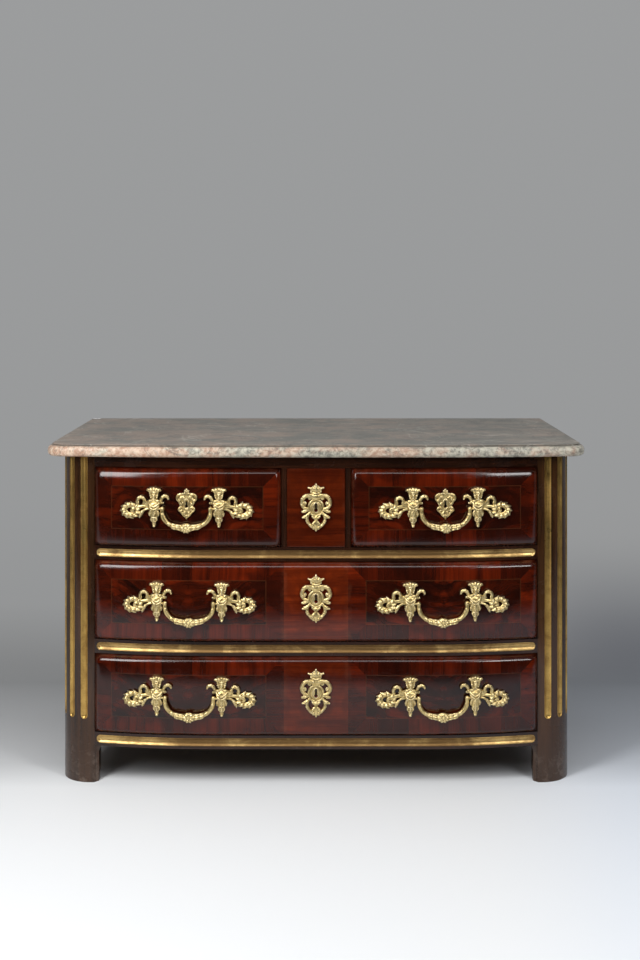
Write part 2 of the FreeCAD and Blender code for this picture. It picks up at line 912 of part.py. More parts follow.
def mounts(handles, x_key, z_key, z_pivot, proud, plate):
    """Every gilt mount of one drawer, with the shanks and nuts of its handles."""
    reach = opening_half + stile_width
    body = bowed_block(-reach, reach, proud + mount_seat, back_y, 0, carcass_top)
    solids = [set_on_front(plate, x_key, z_key, proud).cut([body, key_tool(x_key, z_key)])]
    left = handle_mount()
    pair = ((-1, left), (1, mirrored(left)))
    for x in handles:
        tool = in_handle_frame(pivot_tool(), x, z_pivot)
        for sign, shape in pair:
            at = x + sign * post_spacing / 2
            cast = set_on_front(shape, at, z_pivot, proud).cut([body, tool])
            y0 = front_at(at, proud) - mount_sink
            y1 = front_back + nut_thickness + shank_tail
            start = Vector(at, y0, z_pivot - shank_drop)
            shank = Part.makeCylinder(shank_radius, y1 - y0, start, Vector(0, 1, 0))
            solids.append(fused([cast, shank]))
            half = nut_width / 2
            y2 = front_back + nut_thickness
            nut = block(at - half, at + half, front_back, y2, start.z - half, start.z + half)
            bore = Part.makeCylinder(shank_radius + nut_play, y1 - y0, start, Vector(0, 1, 0))
            solids.append(nut.cut(bore))
    return group(solids)


# Drawers


def tails(x0, x1, y_root, y_tip, z0, z1):
    """Dovetails along the end of a drawer side."""
    pitch = (z1 - z0) / tail_count
    solids = []
    for i in range(tail_count):
        middle = z0 + (i + 0.5) * pitch
        root = pitch * tail_root_share / 2
        tip = pitch * tail_tip_share / 2
        points = [
            Vector(x0, y_root, middle - root),
            Vector(x0, y_tip, middle - tip),
            Vector(x0, y_tip, middle + tip),
            Vector(x0, y_root, middle + root),
            Vector(x0, y_root, middle - root),
        ]
        solids.append(Part.Face(Part.makePolygon(points)).extrude(Vector(x1 - x0, 0, 0)))
    return solids


def drawer(x0, x1, floor, ceiling, proud, edge, handles, plate, rise):
    """All the pieces of one drawer, for the opening x0 to x1 and floor to ceiling."""
    left = x0 + drawer_reveal
    right = x1 - drawer_reveal
    x_key = (x0 + x1) / 2
    z_pivot = (floor + ceiling) / 2
    z_key = z_pivot + rise
    low = floor + drawer_lift
    high = ceiling - side_head_room
    bottom_z = low + drawer_bottom_rise
    bottom_top = bottom_z + drawer_bottom_thickness
    back_start = drawer_back - drawer_back_thickness

    front = bowed_block(left, right, proud, front_back, floor + drawer_reveal, ceiling - drawer_reveal)
    front = round_front(front, proud, edge)
    bottom = block(
        left + side_thickness - drawer_groove,
        right - side_thickness + drawer_groove,
        front_back - drawer_groove,
        drawer_back,
        bottom_z,
        bottom_top,
    )
    sides = []
    fore_tails = []
    aft_tails = []
    for a, b in ((left, left + side_thickness), (right - side_thickness, right)):
        board = block(a, b, front_back, back_start, low, high)
        fore = tails(a, b, front_back, front_back - tail_length, bottom_top, high)
        aft = tails(a, b, back_start, drawer_back, bottom_top, high - drawer_back_drop)
        sides.append(fused([board] + fore + aft).cut(bottom))
        fore_tails += fore
        aft_tails += aft
    back = block(left, right, back_start, drawer_back, bottom_top, high - drawer_back_drop)
    back = back.cut(aft_tails)

    case_top = ceiling - drawer_reveal
    case_low = z_key - lock_below_key
    half = lock_width / 2
    y0 = front_back - lock_depth
    pocket = block(x_key - half, x_key + half, y0, front_back, case_low, case_top)
    shell = block(
        x_key - half + lock_play,
        x_key + half - lock_play,
        y0 + lock_play,
        front_back - lock_play,
        case_low + lock_play,
        case_top - lock_play,
    )
    inset = lock_play + lock_wall
    cavity = block(
        x_key - half + inset,
        x_key + half - inset,
        y0 + inset,
        front_back - inset,
        case_low + inset,
        case_top - inset,
    )
    middle_y = y0 + lock_depth / 2
    bolt_half = bolt_width / 2
    bolt_y = bolt_thickness / 2
    mouth = block(
        x_key - bolt_half - lock_play,
        x_key + bolt_half + lock_play,
        middle_y - bolt_y - lock_play,
        middle_y + bolt_y + lock_play,
        case_top - lock_depth,
        case_top,
    )
    pin_length_inside = lock_depth - 2 * inset
    pin_start = Vector(x_key, y0 + inset, z_key)
    pin = Part.makeCylinder(lock_pin_radius, pin_length_inside + lock_wall, pin_start, Vector(0, 1, 0))
    case = fused([shell.cut([cavity, mouth, key_tool(x_key, z_key)]), pin])
    bolt = block(
        x_key - bolt_half,
        x_key + bolt_half,
        middle_y - bolt_y,
        middle_y + bolt_y,
        case_top - lock_play - bolt_height,
        case_top - lock_play,
    )
    holes = [key_tool(x_key, z_key), pocket, bottom] + fore_tails
    for x in handles:
        for sign in (-1, 1):
            at = Vector(x + sign * post_spacing / 2, front_y - drawer_proud - overrun, z_pivot - shank_drop)
            length = front_back - at.y + overrun
            holes.append(Part.makeCylinder(shank_radius + shank_play, length, at, Vector(0, 1, 0)))
    return {
        "front": front.cut(holes),
        "box": group(sides + [back]),
        "bottom": bottom,
        "lock_case": case,
        "lock_bolt": bolt,
        "mounts": mounts(handles, x_key, z_key, z_pivot, proud, plate),
    }


def strike(x, ceiling):
    """The mortise in the rail above a drawer that takes its bolt."""
    half = bolt_width / 2 + strike_room
    y = front_back - lock_depth / 2
    deep = bolt_thickness / 2 + strike_room
    return block(x - half, x + half, y - deep, y + deep, ceiling, ceiling + bolt_throw + strike_room)


side_drawer_x = (divider_outer + opening_half) / 2
long_handles = (-handle_share * opening_half, handle_share * opening_half)
# Each drawer's opening and the middles of its handles
drawer_rows = {
    "left_drawer": (-opening_half, -divider_outer, top_floor, top_ceiling, (-side_drawer_x,)),
    "centre_drawer": (-divider_inner, divider_inner, top_floor, top_ceiling, ()),
    "right_drawer": (divider_outer, opening_half, top_floor, top_ceiling, (side_drawer_x,)),
    "middle_drawer": (-opening_half, opening_half, middle_floor, middle_ceiling, long_handles),
    "bottom_drawer": (-opening_half, opening_half, bottom_floor, bottom_ceiling, long_handles),
}


def bail_names(name, handles):
    if len(handles) == 1:
        return (name + "_bail",)
    return (name + "_bail_left", name + "_bail_right")


def build():
    """Every node of the chest, by name."""
    right_stile = front_stile()
    right_rear = rear_stile()
    right_panel = side_panel()
    right_divider = divider()
    right_brass = stile_brass()
    upper_board = dust_board(top_floor)
    lower_board = dust_board(middle_floor)
    bottom_board = dust_board(bottom_floor)
    top_strikes = [strike(x, top_ceiling) for x in (-side_drawer_x, 0, side_drawer_x)]
    nodes = {
        "marble_top": marble_top(),
        "front_stile_right": right_stile,
        "front_stile_left": mirrored(right_stile),
        "rear_stile_right": right_rear,
        "rear_stile_left": mirrored(right_rear),
        "side_panel_right": right_panel,
        "side_panel_left": mirrored(right_panel),
        "stile_brass_right": right_brass,
        "stile_brass_left": mirrored(right_brass),
        "back_boards": back_boards(),
        "rear_rails": rear_rails(),
        "top_rail": rail("top_rail", top_strikes),
        "upper_rail": rail("upper_rail", [upper_board, strike(0, middle_ceiling)]),
        "lower_rail": rail("lower_rail", [lower_board, strike(0, bottom_ceiling)]),
        "bottom_rail": rail("bottom_rail", [bottom_board]),
        "rail_brass": rail_brass(),
        "foot_brackets": foot_brackets(),
        "dust_board_upper": upper_board,
        "dust_board_lower": lower_board,
        "bottom_board": bottom_board,
        "drawer_runners": drawer_runners(),
        "divider_right": right_divider,
        "divider_left": mirrored(right_divider),
        "top_battens": top_battens(),
    }
    small = small_escutcheon()
    large = large_escutcheon()
    hanging = bail()
    for name, (x0, x1, floor, ceiling, handles) in drawer_rows.items():
        flush = name == "centre_drawer"
        proud = centre_proud if flush else drawer_proud
        edge = centre_edge_round if flush else drawer_edge_round
        plate = small if name in ("left_drawer", "right_drawer") else large
        rise = centre_key_rise if flush else key_rise
        pieces = drawer(x0, x1, floor, ceiling, proud, edge, handles, plate, rise)
        for piece, shape in pieces.items():
            nodes[name + "_" + piece] = shape
        for bail_name, x in zip(bail_names(name, handles), handles):
            nodes[bail_name] = in_handle_frame(hanging, x, (floor + ceiling) / 2)
    return nodes


if __name__ == "__main__":
    os.makedirs("parts", exist_ok=True)
    for node, shape in build().items():
        shape.exportStep("parts/" + node + ".step")
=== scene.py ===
import bpy
import math
import numpy as np
from mathutils import Matrix, Vector


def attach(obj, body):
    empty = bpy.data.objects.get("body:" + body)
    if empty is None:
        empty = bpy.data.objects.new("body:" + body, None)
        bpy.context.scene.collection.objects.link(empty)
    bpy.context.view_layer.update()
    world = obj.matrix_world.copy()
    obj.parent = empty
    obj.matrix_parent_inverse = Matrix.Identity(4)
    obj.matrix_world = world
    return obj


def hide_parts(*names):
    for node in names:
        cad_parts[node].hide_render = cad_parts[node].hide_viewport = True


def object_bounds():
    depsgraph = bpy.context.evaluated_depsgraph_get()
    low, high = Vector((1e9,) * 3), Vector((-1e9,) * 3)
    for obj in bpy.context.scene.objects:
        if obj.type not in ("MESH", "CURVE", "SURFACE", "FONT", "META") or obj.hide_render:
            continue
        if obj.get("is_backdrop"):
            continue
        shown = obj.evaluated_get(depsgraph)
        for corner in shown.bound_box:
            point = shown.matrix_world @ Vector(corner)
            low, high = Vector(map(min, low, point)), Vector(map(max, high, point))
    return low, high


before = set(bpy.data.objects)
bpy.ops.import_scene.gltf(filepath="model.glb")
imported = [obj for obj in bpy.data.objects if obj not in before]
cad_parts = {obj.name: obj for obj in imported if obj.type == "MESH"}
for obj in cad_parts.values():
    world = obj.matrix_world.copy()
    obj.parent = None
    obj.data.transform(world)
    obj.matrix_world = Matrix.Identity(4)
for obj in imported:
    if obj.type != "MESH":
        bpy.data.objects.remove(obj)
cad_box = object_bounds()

# Marble top: one thick slab of grey-brown marble with rose and chalk patches, cut with a
# stepped upper edge and a rounded nose, then polished. It lies loose on the carcass, held by
# its weight. An old chip shows pale at the rear left corner.


def fill(tree, sockets, values):
    """Links each named socket to another node's output, or sets its value."""
    for key, value in values.items():
        if isinstance(value, bpy.types.NodeSocket):
            tree.links.new(value, sockets[key])
        else:
            sockets[key].default_value = value


def node(tree, kind, values=None, **settings):
    made = tree.nodes.new("ShaderNode" + kind)
    for key, value in settings.items():
        setattr(made, key, value)
    fill(tree, made.inputs, values or {})
    return made


def calc(tree, operation, *values, clamp=False):
    settings = {"operation": operation, "use_clamp": clamp}
    return node(tree, "Math", dict(enumerate(values)), **settings).outputs[0]


def plus(tree, a, b):
    return calc(tree, "ADD", a, b)


def minus(tree, a, b):
    return calc(tree, "SUBTRACT", a, b)


def times(tree, a, b):
    return calc(tree, "MULTIPLY", a, b)


def vector_calc(tree, operation, *values):
    return node(tree, "VectorMath", dict(enumerate(values)), operation=operation).outputs


def axes_of(tree, vector):
    return node(tree, "SeparateXYZ", {0: vector}).outputs


def step(tree, value, low, high, most=1.0):
    """A soft step from 0 at low to the most at high; low may be the larger of the two."""
    values = {"Value": value, "From Min": low, "From Max": high, "To Max": most}
    return node(tree, "MapRange", values, interpolation_type="SMOOTHSTEP").outputs[0]


def mixed(tree, share, a, b, mode="MIX"):
    a, b = ((*colour, 1) if isinstance(colour, tuple) else colour for colour in (a, b))
    settings = {"data_type": "RGBA", "blend_type": mode}
    return node(tree, "Mix", {0: share, 6: a, 7: b}, **settings).outputs[2]


def layered(tree, colour, *coats):
    """Coats of (share, colour), each laid over what is below it."""
    for share, coat in coats:
        colour = mixed(tree, share, colour, coat)
    return colour


def stretched(tree, vector, by):
    return vector_calc(tree, "MULTIPLY", vector, by)[0]


def noise(tree, vector, scale, detail, roughness, distortion=0.0):
    """A noise of one scale, or of a scale for each axis."""
    if isinstance(scale, tuple):
        vector, scale = stretched(tree, vector, scale), 1.0
    values = {"Vector": vector, "Scale": scale, "Detail": detail, "Roughness": roughness}
    values["Distortion"] = distortion
    return node(tree, "TexNoise", values).outputs[0]


def finish(name):
    """A new material, its node tree, its shader's inputs and the place on the piece in metres."""
    made = bpy.data.materials.new(name)
    made.use_nodes = True
    tree = made.node_tree
    place = node(tree, "TexCoord").outputs["Object"]
    return made, tree, tree.nodes["Principled BSDF"].inputs, place


def dress(names, material):
    for name in names:
        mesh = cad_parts[name].data
        mesh.materials.clear()
        mesh.materials.append(material)


def bumped(tree, height, depth, shader):
    """Raises the surface by a height; gives the socket for the way it faces below that."""
    bump = node(tree, "Bump", {"Height": height, "Distance": depth, "Strength": 1.0})
    fill(tree, shader, {"Normal": bump.outputs[0]})
    return bump.inputs["Normal"]


def vein(tree, value, level, width, most):
    """A thin line where a value passes a level."""
    return step(tree, calc(tree, "ABSOLUTE", minus(tree, value, level)), width, 0.0, most)


chip_at = (-0.627, 0.316, 0.824)
marble, tree, shader, place = finish("polished_marble")
across, _, height = axes_of(tree, place)
cloud = noise(tree, stretched(tree, place, (1.0, 1.5, 1.5)), 11.0, 7.0, 0.62, 0.8)
drift = noise(tree, place, 3.6, 4.0, 0.6, 0.4)
flecks = noise(tree, place, 85.0, 6.0, 0.72, 0.4)
warm = minus(tree, plus(tree, cloud, times(tree, drift, 0.4)), times(tree, across, 0.1))
# The nose is painted paler than the top: a painted highlight.
nose_highlight = step(tree, height, 0.8215, 0.8165, 0.85)
# A thin darker line on the riser of the step is painted shade.
riser_shade = step(tree, height, 0.8185, 0.8202)
riser_shade = times(tree, riser_shade, step(tree, height, 0.823, 0.8215))
chalk = vein(tree, noise(tree, place, 4.2, 4.0, 0.5, 0.9), 0.5, 0.009, 0.4)
slate = vein(tree, noise(tree, place, 5.0, 7.0, 0.66, 1.6), 0.47, 0.018, 0.55)
chip = vector_calc(tree, "DISTANCE", place, chip_at)["Value"]
chip = plus(tree, chip, times(tree, flecks, 0.012))
# The nose's paler colour is a painted highlight, brightest at the left and greyer towards the
# right.
rose = mixed(tree, step(tree, flecks, 0.38, 0.64), (0.44, 0.245, 0.16), (0.72, 0.56, 0.42))
cut = mixed(tree, step(tree, flecks, 0.34, 0.6), (0.135, 0.13, 0.108), (0.62, 0.58, 0.46))
cut = mixed(tree, step(tree, warm, 0.6, 0.78), cut, rose)
cut = mixed(tree, step(tree, across, -0.5, 0.1, 0.26), cut, (0.15, 0.145, 0.135))
grey, brown = (0.15, 0.147, 0.127), (0.24, 0.209, 0.174)
body = layered(
    tree, mixed(tree, step(tree, cloud, 0.36, 0.64), grey, brown),
    (step(tree, flecks, 0.46, 0.72, 0.6), (0.285, 0.262, 0.222)),
    (step(tree, warm, 0.64, 0.84, 0.5), (0.31, 0.218, 0.168)),
    (nose_highlight, cut),
    (times(tree, riser_shade, 0.6), (0.085, 0.066, 0.05)),
    (chalk, (0.52, 0.49, 0.43)),
    (slate, (0.085, 0.082, 0.072)),
    (step(tree, chip, 0.022, 0.014), (0.86, 0.85, 0.83)),
)
fill(tree, shader, {
    "Base Color": body,
    "Roughness": plus(tree, times(tree, flecks, 0.26), 0.26),
    "Specular IOR Level": 0.32,
})
bumped(tree, plus(tree, flecks, times(tree, cloud, 2.0)), 0.00012, shader)
dress(["marble_top"], marble)

# Front stiles, rails, dividers and foot brackets: softwood faced with dark veneer and polished.
# The stiles are rounded and fluted by plane and stand on their own feet; the rails are tenoned
# into them, and the small curved brackets are glued under the corners.


def effect(name, inputs, outputs):
    """A shader node group with named inputs and outputs; the ones named Place are vectors."""
    group = bpy.data.node_groups.new(name, "ShaderNodeTree")
    for label, kind in inputs:
        group.interface.new_socket(label, in_out="INPUT", socket_type="NodeSocket" + kind)
    for label in outputs:
        kind = "Vector" if label.endswith("Place") else "Float"
        group.interface.new_socket(label, in_out="OUTPUT", socket_type="NodeSocket" + kind)
    taken = group.nodes.new("NodeGroupInput").outputs
    return group, taken, group.nodes.new("NodeGroupOutput").inputs


timber_figure, taken, given = effect(
    "timber_figure", [("Along Grain", "Vector"), ("Band", "Float")], ["Streak", "Pore"]
)
g = timber_figure
wander = noise(g, taken["Along Grain"], 7.0, 3.0, 0.5)
shift = node(g, "CombineXYZ", {"Y": times(g, wander, taken["Band"])}).outputs[0]
line = vector_calc(g, "ADD", taken["Along Grain"], shift)[0]
broad = noise(g, line, (2.6, 48.0, 48.0), 3.0, 0.55, 0.5)
fine = noise(g, line, (7.0, 330.0, 330.0), 5.0, 0.65)
streak = plus(g, times(g, broad, 0.62), times(g, fine, 0.38))
pores = noise(g, line, (120.0, 1900.0, 1900.0), 2.0, 0.5)
fill(g, given, {
    "Streak": step(g, streak, 0.3, 0.7),
    "Pore": step(g, pores, 0.58, 0.74),
})

hand_polish, taken, given = effect(
    "hand_polish", [("Place", "Vector"), ("Low", "Float"), ("High", "Float")], ["Roughness"]
)
g = hand_polish
rubbed = step(g, noise(g, taken["Place"], 11.0, 6.0, 0.65, 0.6), 0.32, 0.72, 0.7)
wipe = noise(g, taken["Place"], (30.0, 200.0, 30.0), 3.0, 0.6)
rubbed = plus(g, rubbed, times(g, wipe, 0.3))
span = minus(g, taken["High"], taken["Low"])
fill(g, given, {"Roughness": plus(g, taken["Low"], times(g, rubbed, span))})

settled_dust, taken, given = effect(
    "settled_dust", [("Place", "Vector"), ("Facing", "Vector"), ("Amount", "Float")], ["Mask"]
)
g = settled_dust
up = axes_of(g, taken["Facing"])[2]
speckle = noise(g, taken["Place"], 60.0, 6.0, 0.75)
lying = times(g, step(g, up, 0.5, 1.0), step(g, speckle, 0.3, 0.75))
fill(g, given, {"Mask": times(g, lying, taken["Amount"])})


def use(tree, group, values):
    return node(tree, "Group", values, node_tree=group).outputs


def figure_on(tree, along, band):
    return use(tree, timber_figure, {"Along Grain": along, "Band": band})


def polish_on(tree, place, low, high):
    return use(tree, hand_polish, {"Place": place, "Low": low, "High": high})["Roughness"]


def facing_of(tree):
    return node(tree, "NewGeometry").outputs["Normal"]


def dust_on(tree, place, amount):
    values = {"Place": place, "Facing": facing_of(tree), "Amount": amount}
    return use(tree, settled_dust, values)["Mask"]


def turned_place(tree, place, order):
    """The place with its axes in another order, the grain's own axis first."""
    parts = axes_of(tree, place)
    values = dict(zip("XYZ", (parts["XYZ".index(axis)] for axis in order)))
    return node(tree, "CombineXYZ", values).outputs[0]


def dark_veneer(name, order, deep, pale):
    made, tree, shader, place = finish(name)
    figure = figure_on(tree, turned_place(tree, place, order), 0.03)
    scuff = step(tree, noise(tree, place, 38.0, 8.0, 0.72), 0.5, 0.72, 0.65)
    by_floor = step(tree, axes_of(tree, place)[2], 0.13, 0.0)
    scuff = times(tree, plus(tree, scuff, 0.12), by_floor)
    colour = layered(
        tree, mixed(tree, figure["Streak"], deep, pale),
        (times(tree, figure["Pore"], 0.6), (0.006, 0.004, 0.003)),
        (scuff, (0.165, 0.122, 0.096)),
        (dust_on(tree, place, 0.35), (0.2, 0.17, 0.14)),
    )
    fill(tree, shader, {
        "Base Color": colour,
        "Roughness": plus(tree, polish_on(tree, place, 0.14, 0.34), times(tree, scuff, 0.3)),
        "Specular IOR Level": 0.22,
        "Coat Weight": 0.35,
        "Coat Roughness": 0.08,
    })
    bumped(tree, figure["Pore"], -0.00005, shader)
    return made


deep, pale = (0.014, 0.0058, 0.0024), (0.056, 0.022, 0.0072)
upright_veneer = dark_veneer("dark_upright_veneer", "ZXY", deep, pale)
dress(["front_stile_left", "front_stile_right", "foot_brackets"], upright_veneer)
# The rails and dividers take a darker copy of the same veneer: painted shade, as under the marble's
# overhang and between the drawers.
deep, pale = (0.0075, 0.003, 0.0016), (0.034, 0.0105, 0.0042)
shaded_rail_veneer = dark_veneer("dark_rail_veneer", "XYZ", deep, pale)
dress(["top_rail", "upper_rail", "lower_rail", "bottom_rail"], shaded_rail_veneer)
shaded_divider_veneer = dark_veneer("dark_divider_veneer", "ZXY", deep, pale)
dress(["divider_left", "divider_right"], shaded_divider_veneer)

# Brass linings: thin sheet brass drawn into the hollows of the stiles and rails and pinned there.
# The metal is rubbed bright and tarnished brown in patches. The rails' copy is darker and is
# darkened further towards its middle: painted shade, which leaves the bowed ends bright.


def sheet_brass(name, bright, dull, low, high, shaded_middle):
    made, tree, shader, place = finish(name)
    mottle = noise(tree, place, 16.0, 7.0, 0.68, 0.5)
    drawn = noise(tree, place, (6.0, 900.0, 900.0), 3.0, 0.6)
    away = calc(tree, "ABSOLUTE", axes_of(tree, place)[0])
    tarnish_and_shade = plus(tree, mottle, times(tree, drawn, 0.25))
    # Painted shade: darker towards the middle of a rail.
    tarnish_and_shade = plus(tree, tarnish_and_shade, step(tree, away, 0.52, 0.22, shaded_middle))
    tarnish_and_shade = step(tree, tarnish_and_shade, 0.46, 0.86)
    spots = step(tree, noise(tree, place, 120.0, 5.0, 0.7), 0.6, 0.72, 0.45)
    tint = mixed(tree, tarnish_and_shade, bright, dull)
    fill(tree, shader, {
        "Base Color": mixed(tree, spots, tint, (0.08, 0.05, 0.025)),
        "Metallic": 1.0,
        "Roughness": plus(tree, polish_on(tree, place, low, high), times(tree, tarnish_and_shade, 0.12)),
    })
    bumped(tree, plus(tree, drawn, mottle), 0.0001, shader)
    return made


bright, dull = (0.66, 0.42, 0.125), (0.34, 0.19, 0.055)
stile_brass = sheet_brass("stile_sheet_brass", bright, dull, 0.22, 0.42, 0.0)
dress(["stile_brass_left", "stile_brass_right"], stile_brass)
# The rails' brass is a darker copy of the stiles': painted shade.
bright, dull = (0.66, 0.45, 0.175), (0.21, 0.122, 0.046)
dress(["rail_brass"], sheet_brass("rail_sheet_brass", bright, dull, 0.28, 0.48, 0.2))

# Veneered faces: rosewood leaves laid in compartments, each with a red band cut across the
# grain, a thin string inside it and a dark book-matched field, all French polished. The drawer
# fronts carry them, and so do the side panels, which slide into grooves in the stiles.
layout_sizes = ("Middle X", "Middle Z", "Half Width", "Half Height", "Centre Half", "Band")
veneer_layout, taken, given = effect(
    "veneer_layout",
    [("Place", "Vector")] + [(label, "Float") for label in layout_sizes],
    ["Field Place", "Band Mask", "Side Band", "String Mask", "Centre Mask", "Seam", "Edge", "Rise",
     "Rim", "Leaf"],
)


def near(tree, distance, reach):
    """The square of how far a place lies inside a reach, and 0 beyond it."""
    return calc(tree, "POWER", calc(tree, "MAXIMUM", minus(tree, reach, distance), 0.0), 2.0)


def either(tree, mask, a, b):
    """The first value where the mask is 0 and the second where it is 1."""
    return plus(tree, times(tree, a, minus(tree, 1.0, mask)), times(tree, b, mask))


g = veneer_layout
axes = axes_of(g, taken["Place"])
px = minus(g, axes[0], taken["Middle X"])
pz = minus(g, axes[2], taken["Middle Z"])
ax = calc(g, "ABSOLUTE", px)
sign_x, sign_z = calc(g, "SIGN", px), calc(g, "SIGN", pz)
outside = calc(g, "GREATER_THAN", ax, taken["Centre Half"])
side_middle = times(g, plus(g, taken["Centre Half"], taken["Half Width"]), 0.5)
side_half = times(g, minus(g, taken["Half Width"], taken["Centre Half"]), 0.5)
fold = calc(g, "ABSOLUTE", either(g, outside, px, minus(g, ax, side_middle)))
from_side = minus(g, either(g, outside, taken["Centre Half"], side_half), fold)
from_level = minus(g, taken["Half Height"], calc(g, "ABSOLUTE", pz))
from_end = minus(g, taken["Half Width"], ax)
edge = calc(g, "MINIMUM", from_side, from_level)
upper = plus(g, 0.1, step(g, pz, -0.06, 0.05, 0.45))
rim = times(g, near(g, from_level, 0.028), upper)
rim = plus(g, rim, times(g, near(g, from_end, 0.02), 0.6))
band_step = step(g, edge, taken["Band"], plus(g, taken["Band"], 0.0006))
at_side = calc(g, "LESS_THAN", from_side, from_level)
count = calc(g, "FLOOR", times(g, either(g, at_side, px, pz), 13.5))
count = plus(g, count, times(g, sign_z, 41.3))
count = plus(g, count, times(g, at_side, plus(g, 17.7, sign_x)))
pick = node(g, "TexWhiteNoise", {"W": count}, noise_dimensions="1D")
off_string = calc(g, "ABSOLUTE", minus(g, edge, plus(g, taken["Band"], 0.001)))
field_place = node(g, "CombineXYZ", {
    "X": plus(g, fold, times(g, pz, 0.42)),
    "Y": minus(g, pz, times(g, fold, 0.34)),
    "Z": plus(g, axes[1], times(g, sign_x, times(g, outside, 0.37))),
})
fill(g, given, {
    "Field Place": field_place.outputs[0],
    "Band Mask": minus(g, 1.0, band_step),
    "Side Band": at_side,
    "String Mask": step(g, off_string, 0.0012, 0.0006),
    "Centre Mask": minus(g, 1.0, outside),
    "Seam": step(g, fold, 0.0007, 0.0002),
    "Edge": edge,
    "Rise": calc(g, "DIVIDE", pz, taken["Half Height"]),
    "Rim": rim,
    "Leaf": pick.outputs["Value"],
})
flat_half, front_y, bow_radius, proud, edge_round = 0.245, -0.288, 1.48455, 0.0095, 0.014


def planed_true(tree, place, middle_x, middle_z, half_width, half_height):
    """The way that a bowed front with rounded edges faces, even all along its sweep."""
    x, _, z = axes_of(tree, place)
    beyond = minus(tree, calc(tree, "ABSOLUTE", x), flat_half)
    swing = times(tree, calc(tree, "MAXIMUM", beyond, 0.0), calc(tree, "SIGN", x))
    swing = calc(tree, "DIVIDE", swing, bow_radius + proud)
    turns, level = [], 1.0
    for value, middle, half in ((x, middle_x, half_width), (z, middle_z, half_height)):
        off = minus(tree, value, middle)
        share = minus(tree, calc(tree, "ABSOLUTE", off), half - edge_round)
        share = calc(tree, "DIVIDE", share, edge_round, clamp=True)
        turn = times(tree, share, calc(tree, "SIGN", off))
        level = minus(tree, level, times(tree, turn, turn))
        turns.append(turn)
    level = calc(tree, "SQRT", calc(tree, "MAXIMUM", level, 0.02))
    true = node(tree, "CombineXYZ", {
        "X": plus(tree, turns[0], times(tree, swing, level)),
        "Y": times(tree, level, -1.0),
        "Z": turns[1],
    })
    true = vector_calc(tree, "NORMALIZE", true.outputs[0])[0]
    rough = facing_of(tree)
    ahead = step(tree, times(tree, axes_of(tree, rough)[1], -1.0), 0.15, 0.4)
    values = {0: ahead, 4: rough, 5: true}
    return node(tree, "Mix", values, data_type="VECTOR").outputs[1]


def rosewood(name, order, middle_x, middle_z, half_width, half_height, centre_half, shade, bowed):
    made, tree, shader, place = finish(name)
    flat = turned_place(tree, place, order)
    sizes = (middle_x, middle_z, half_width, half_height, centre_half, 0.042)
    layout = use(tree, veneer_layout, {"Place": flat, **dict(zip(layout_sizes, sizes))})
    field = figure_on(tree, layout["Field Place"], 0.09)
    level = figure_on(tree, flat, 0.02)
    upright = figure_on(tree, turned_place(tree, flat, "ZXY"), 0.02)
    flame = noise(tree, layout["Field Place"], 15.0, 3.0, 0.55, 0.9)
    flame = step(tree, flame, 0.42, 0.66)
    wood = mixed(tree, field["Streak"], (0.006, 0.0017, 0.001), (0.044, 0.0053, 0.0014))
    wood = mixed(tree, times(tree, flame, field["Streak"]), wood, (0.132, 0.0125, 0.0021))
    plain = 1.0
    if centre_half < half_width:
        heart = mixed(tree, level["Streak"], (0.042, 0.0043, 0.0011), (0.168, 0.0205, 0.003))
        calm = times(tree, minus(tree, 1.0, flame), 0.6)
        heart = mixed(tree, calm, heart, (0.055, 0.007, 0.002))
        wood = mixed(tree, layout["Centre Mask"], wood, heart)
        plain = minus(tree, 1.0, layout["Centre Mask"])
    band = mixed(tree, layout["Side Band"], upright["Streak"], level["Streak"])
    band = mixed(tree, band, (0.027, 0.0032, 0.0011), (0.148, 0.0135, 0.002))
    band = mixed(tree, times(tree, layout["Leaf"], 0.8), band, (0.014, 0.0024, 0.0011))
    cloud = noise(tree, flat, 8.5, 3.0, 0.55, 0.6)
    cloud = step(tree, cloud, 0.44, 0.66, 0.62 if bowed else 0.35)
    pore = mixed(tree, layout["Band Mask"], field["Pore"], level["Pore"])
    worn = step(tree, noise(tree, place, 24.0, 6.0, 0.7), 0.42, 0.75)
    rub = times(tree, step(tree, layout["Edge"], 0.012, 0.002), worn)
    wood = layered(
        tree, wood,
        (times(tree, layout["Band Mask"], plain), band),
        (times(tree, cloud, plain), (0.009, 0.0021, 0.0012)),
        (times(tree, times(tree, layout["String Mask"], plain), 0.24), (0.12, 0.05, 0.019)),
        (times(tree, layout["Seam"], 0.35), (0.012, 0.004, 0.002)),
        (times(tree, pore, 0.4), (0.01, 0.003, 0.0015)),
        (times(tree, rub, 0.4), (0.15, 0.045, 0.02)),
        (shade, (0.004, 0.001, 0.0005)),
    )
    fill(tree, shader, {
        "Base Color": wood,
        "Roughness": plus(tree, polish_on(tree, place, 0.07, 0.17), times(tree, rub, 0.1)),
        "Specular IOR Level": 0.42,
    })
    height = times(tree, plus(tree, pore, layout["String Mask"]), -0.00003)
    if bowed:
        rise = calc(tree, "POWER", calc(tree, "ABSOLUTE", layout["Rise"]), 2.0)
        swell = minus(tree, times(tree, rise, -0.005), times(tree, layout["Rim"], 11.0))
        height = plus(tree, height, swell)
    under = bumped(tree, height, 1.0, shader)
    if bowed:
        true = planed_true(tree, place, middle_x, middle_z, half_width, half_height)
        tree.links.new(true, under)
    return made


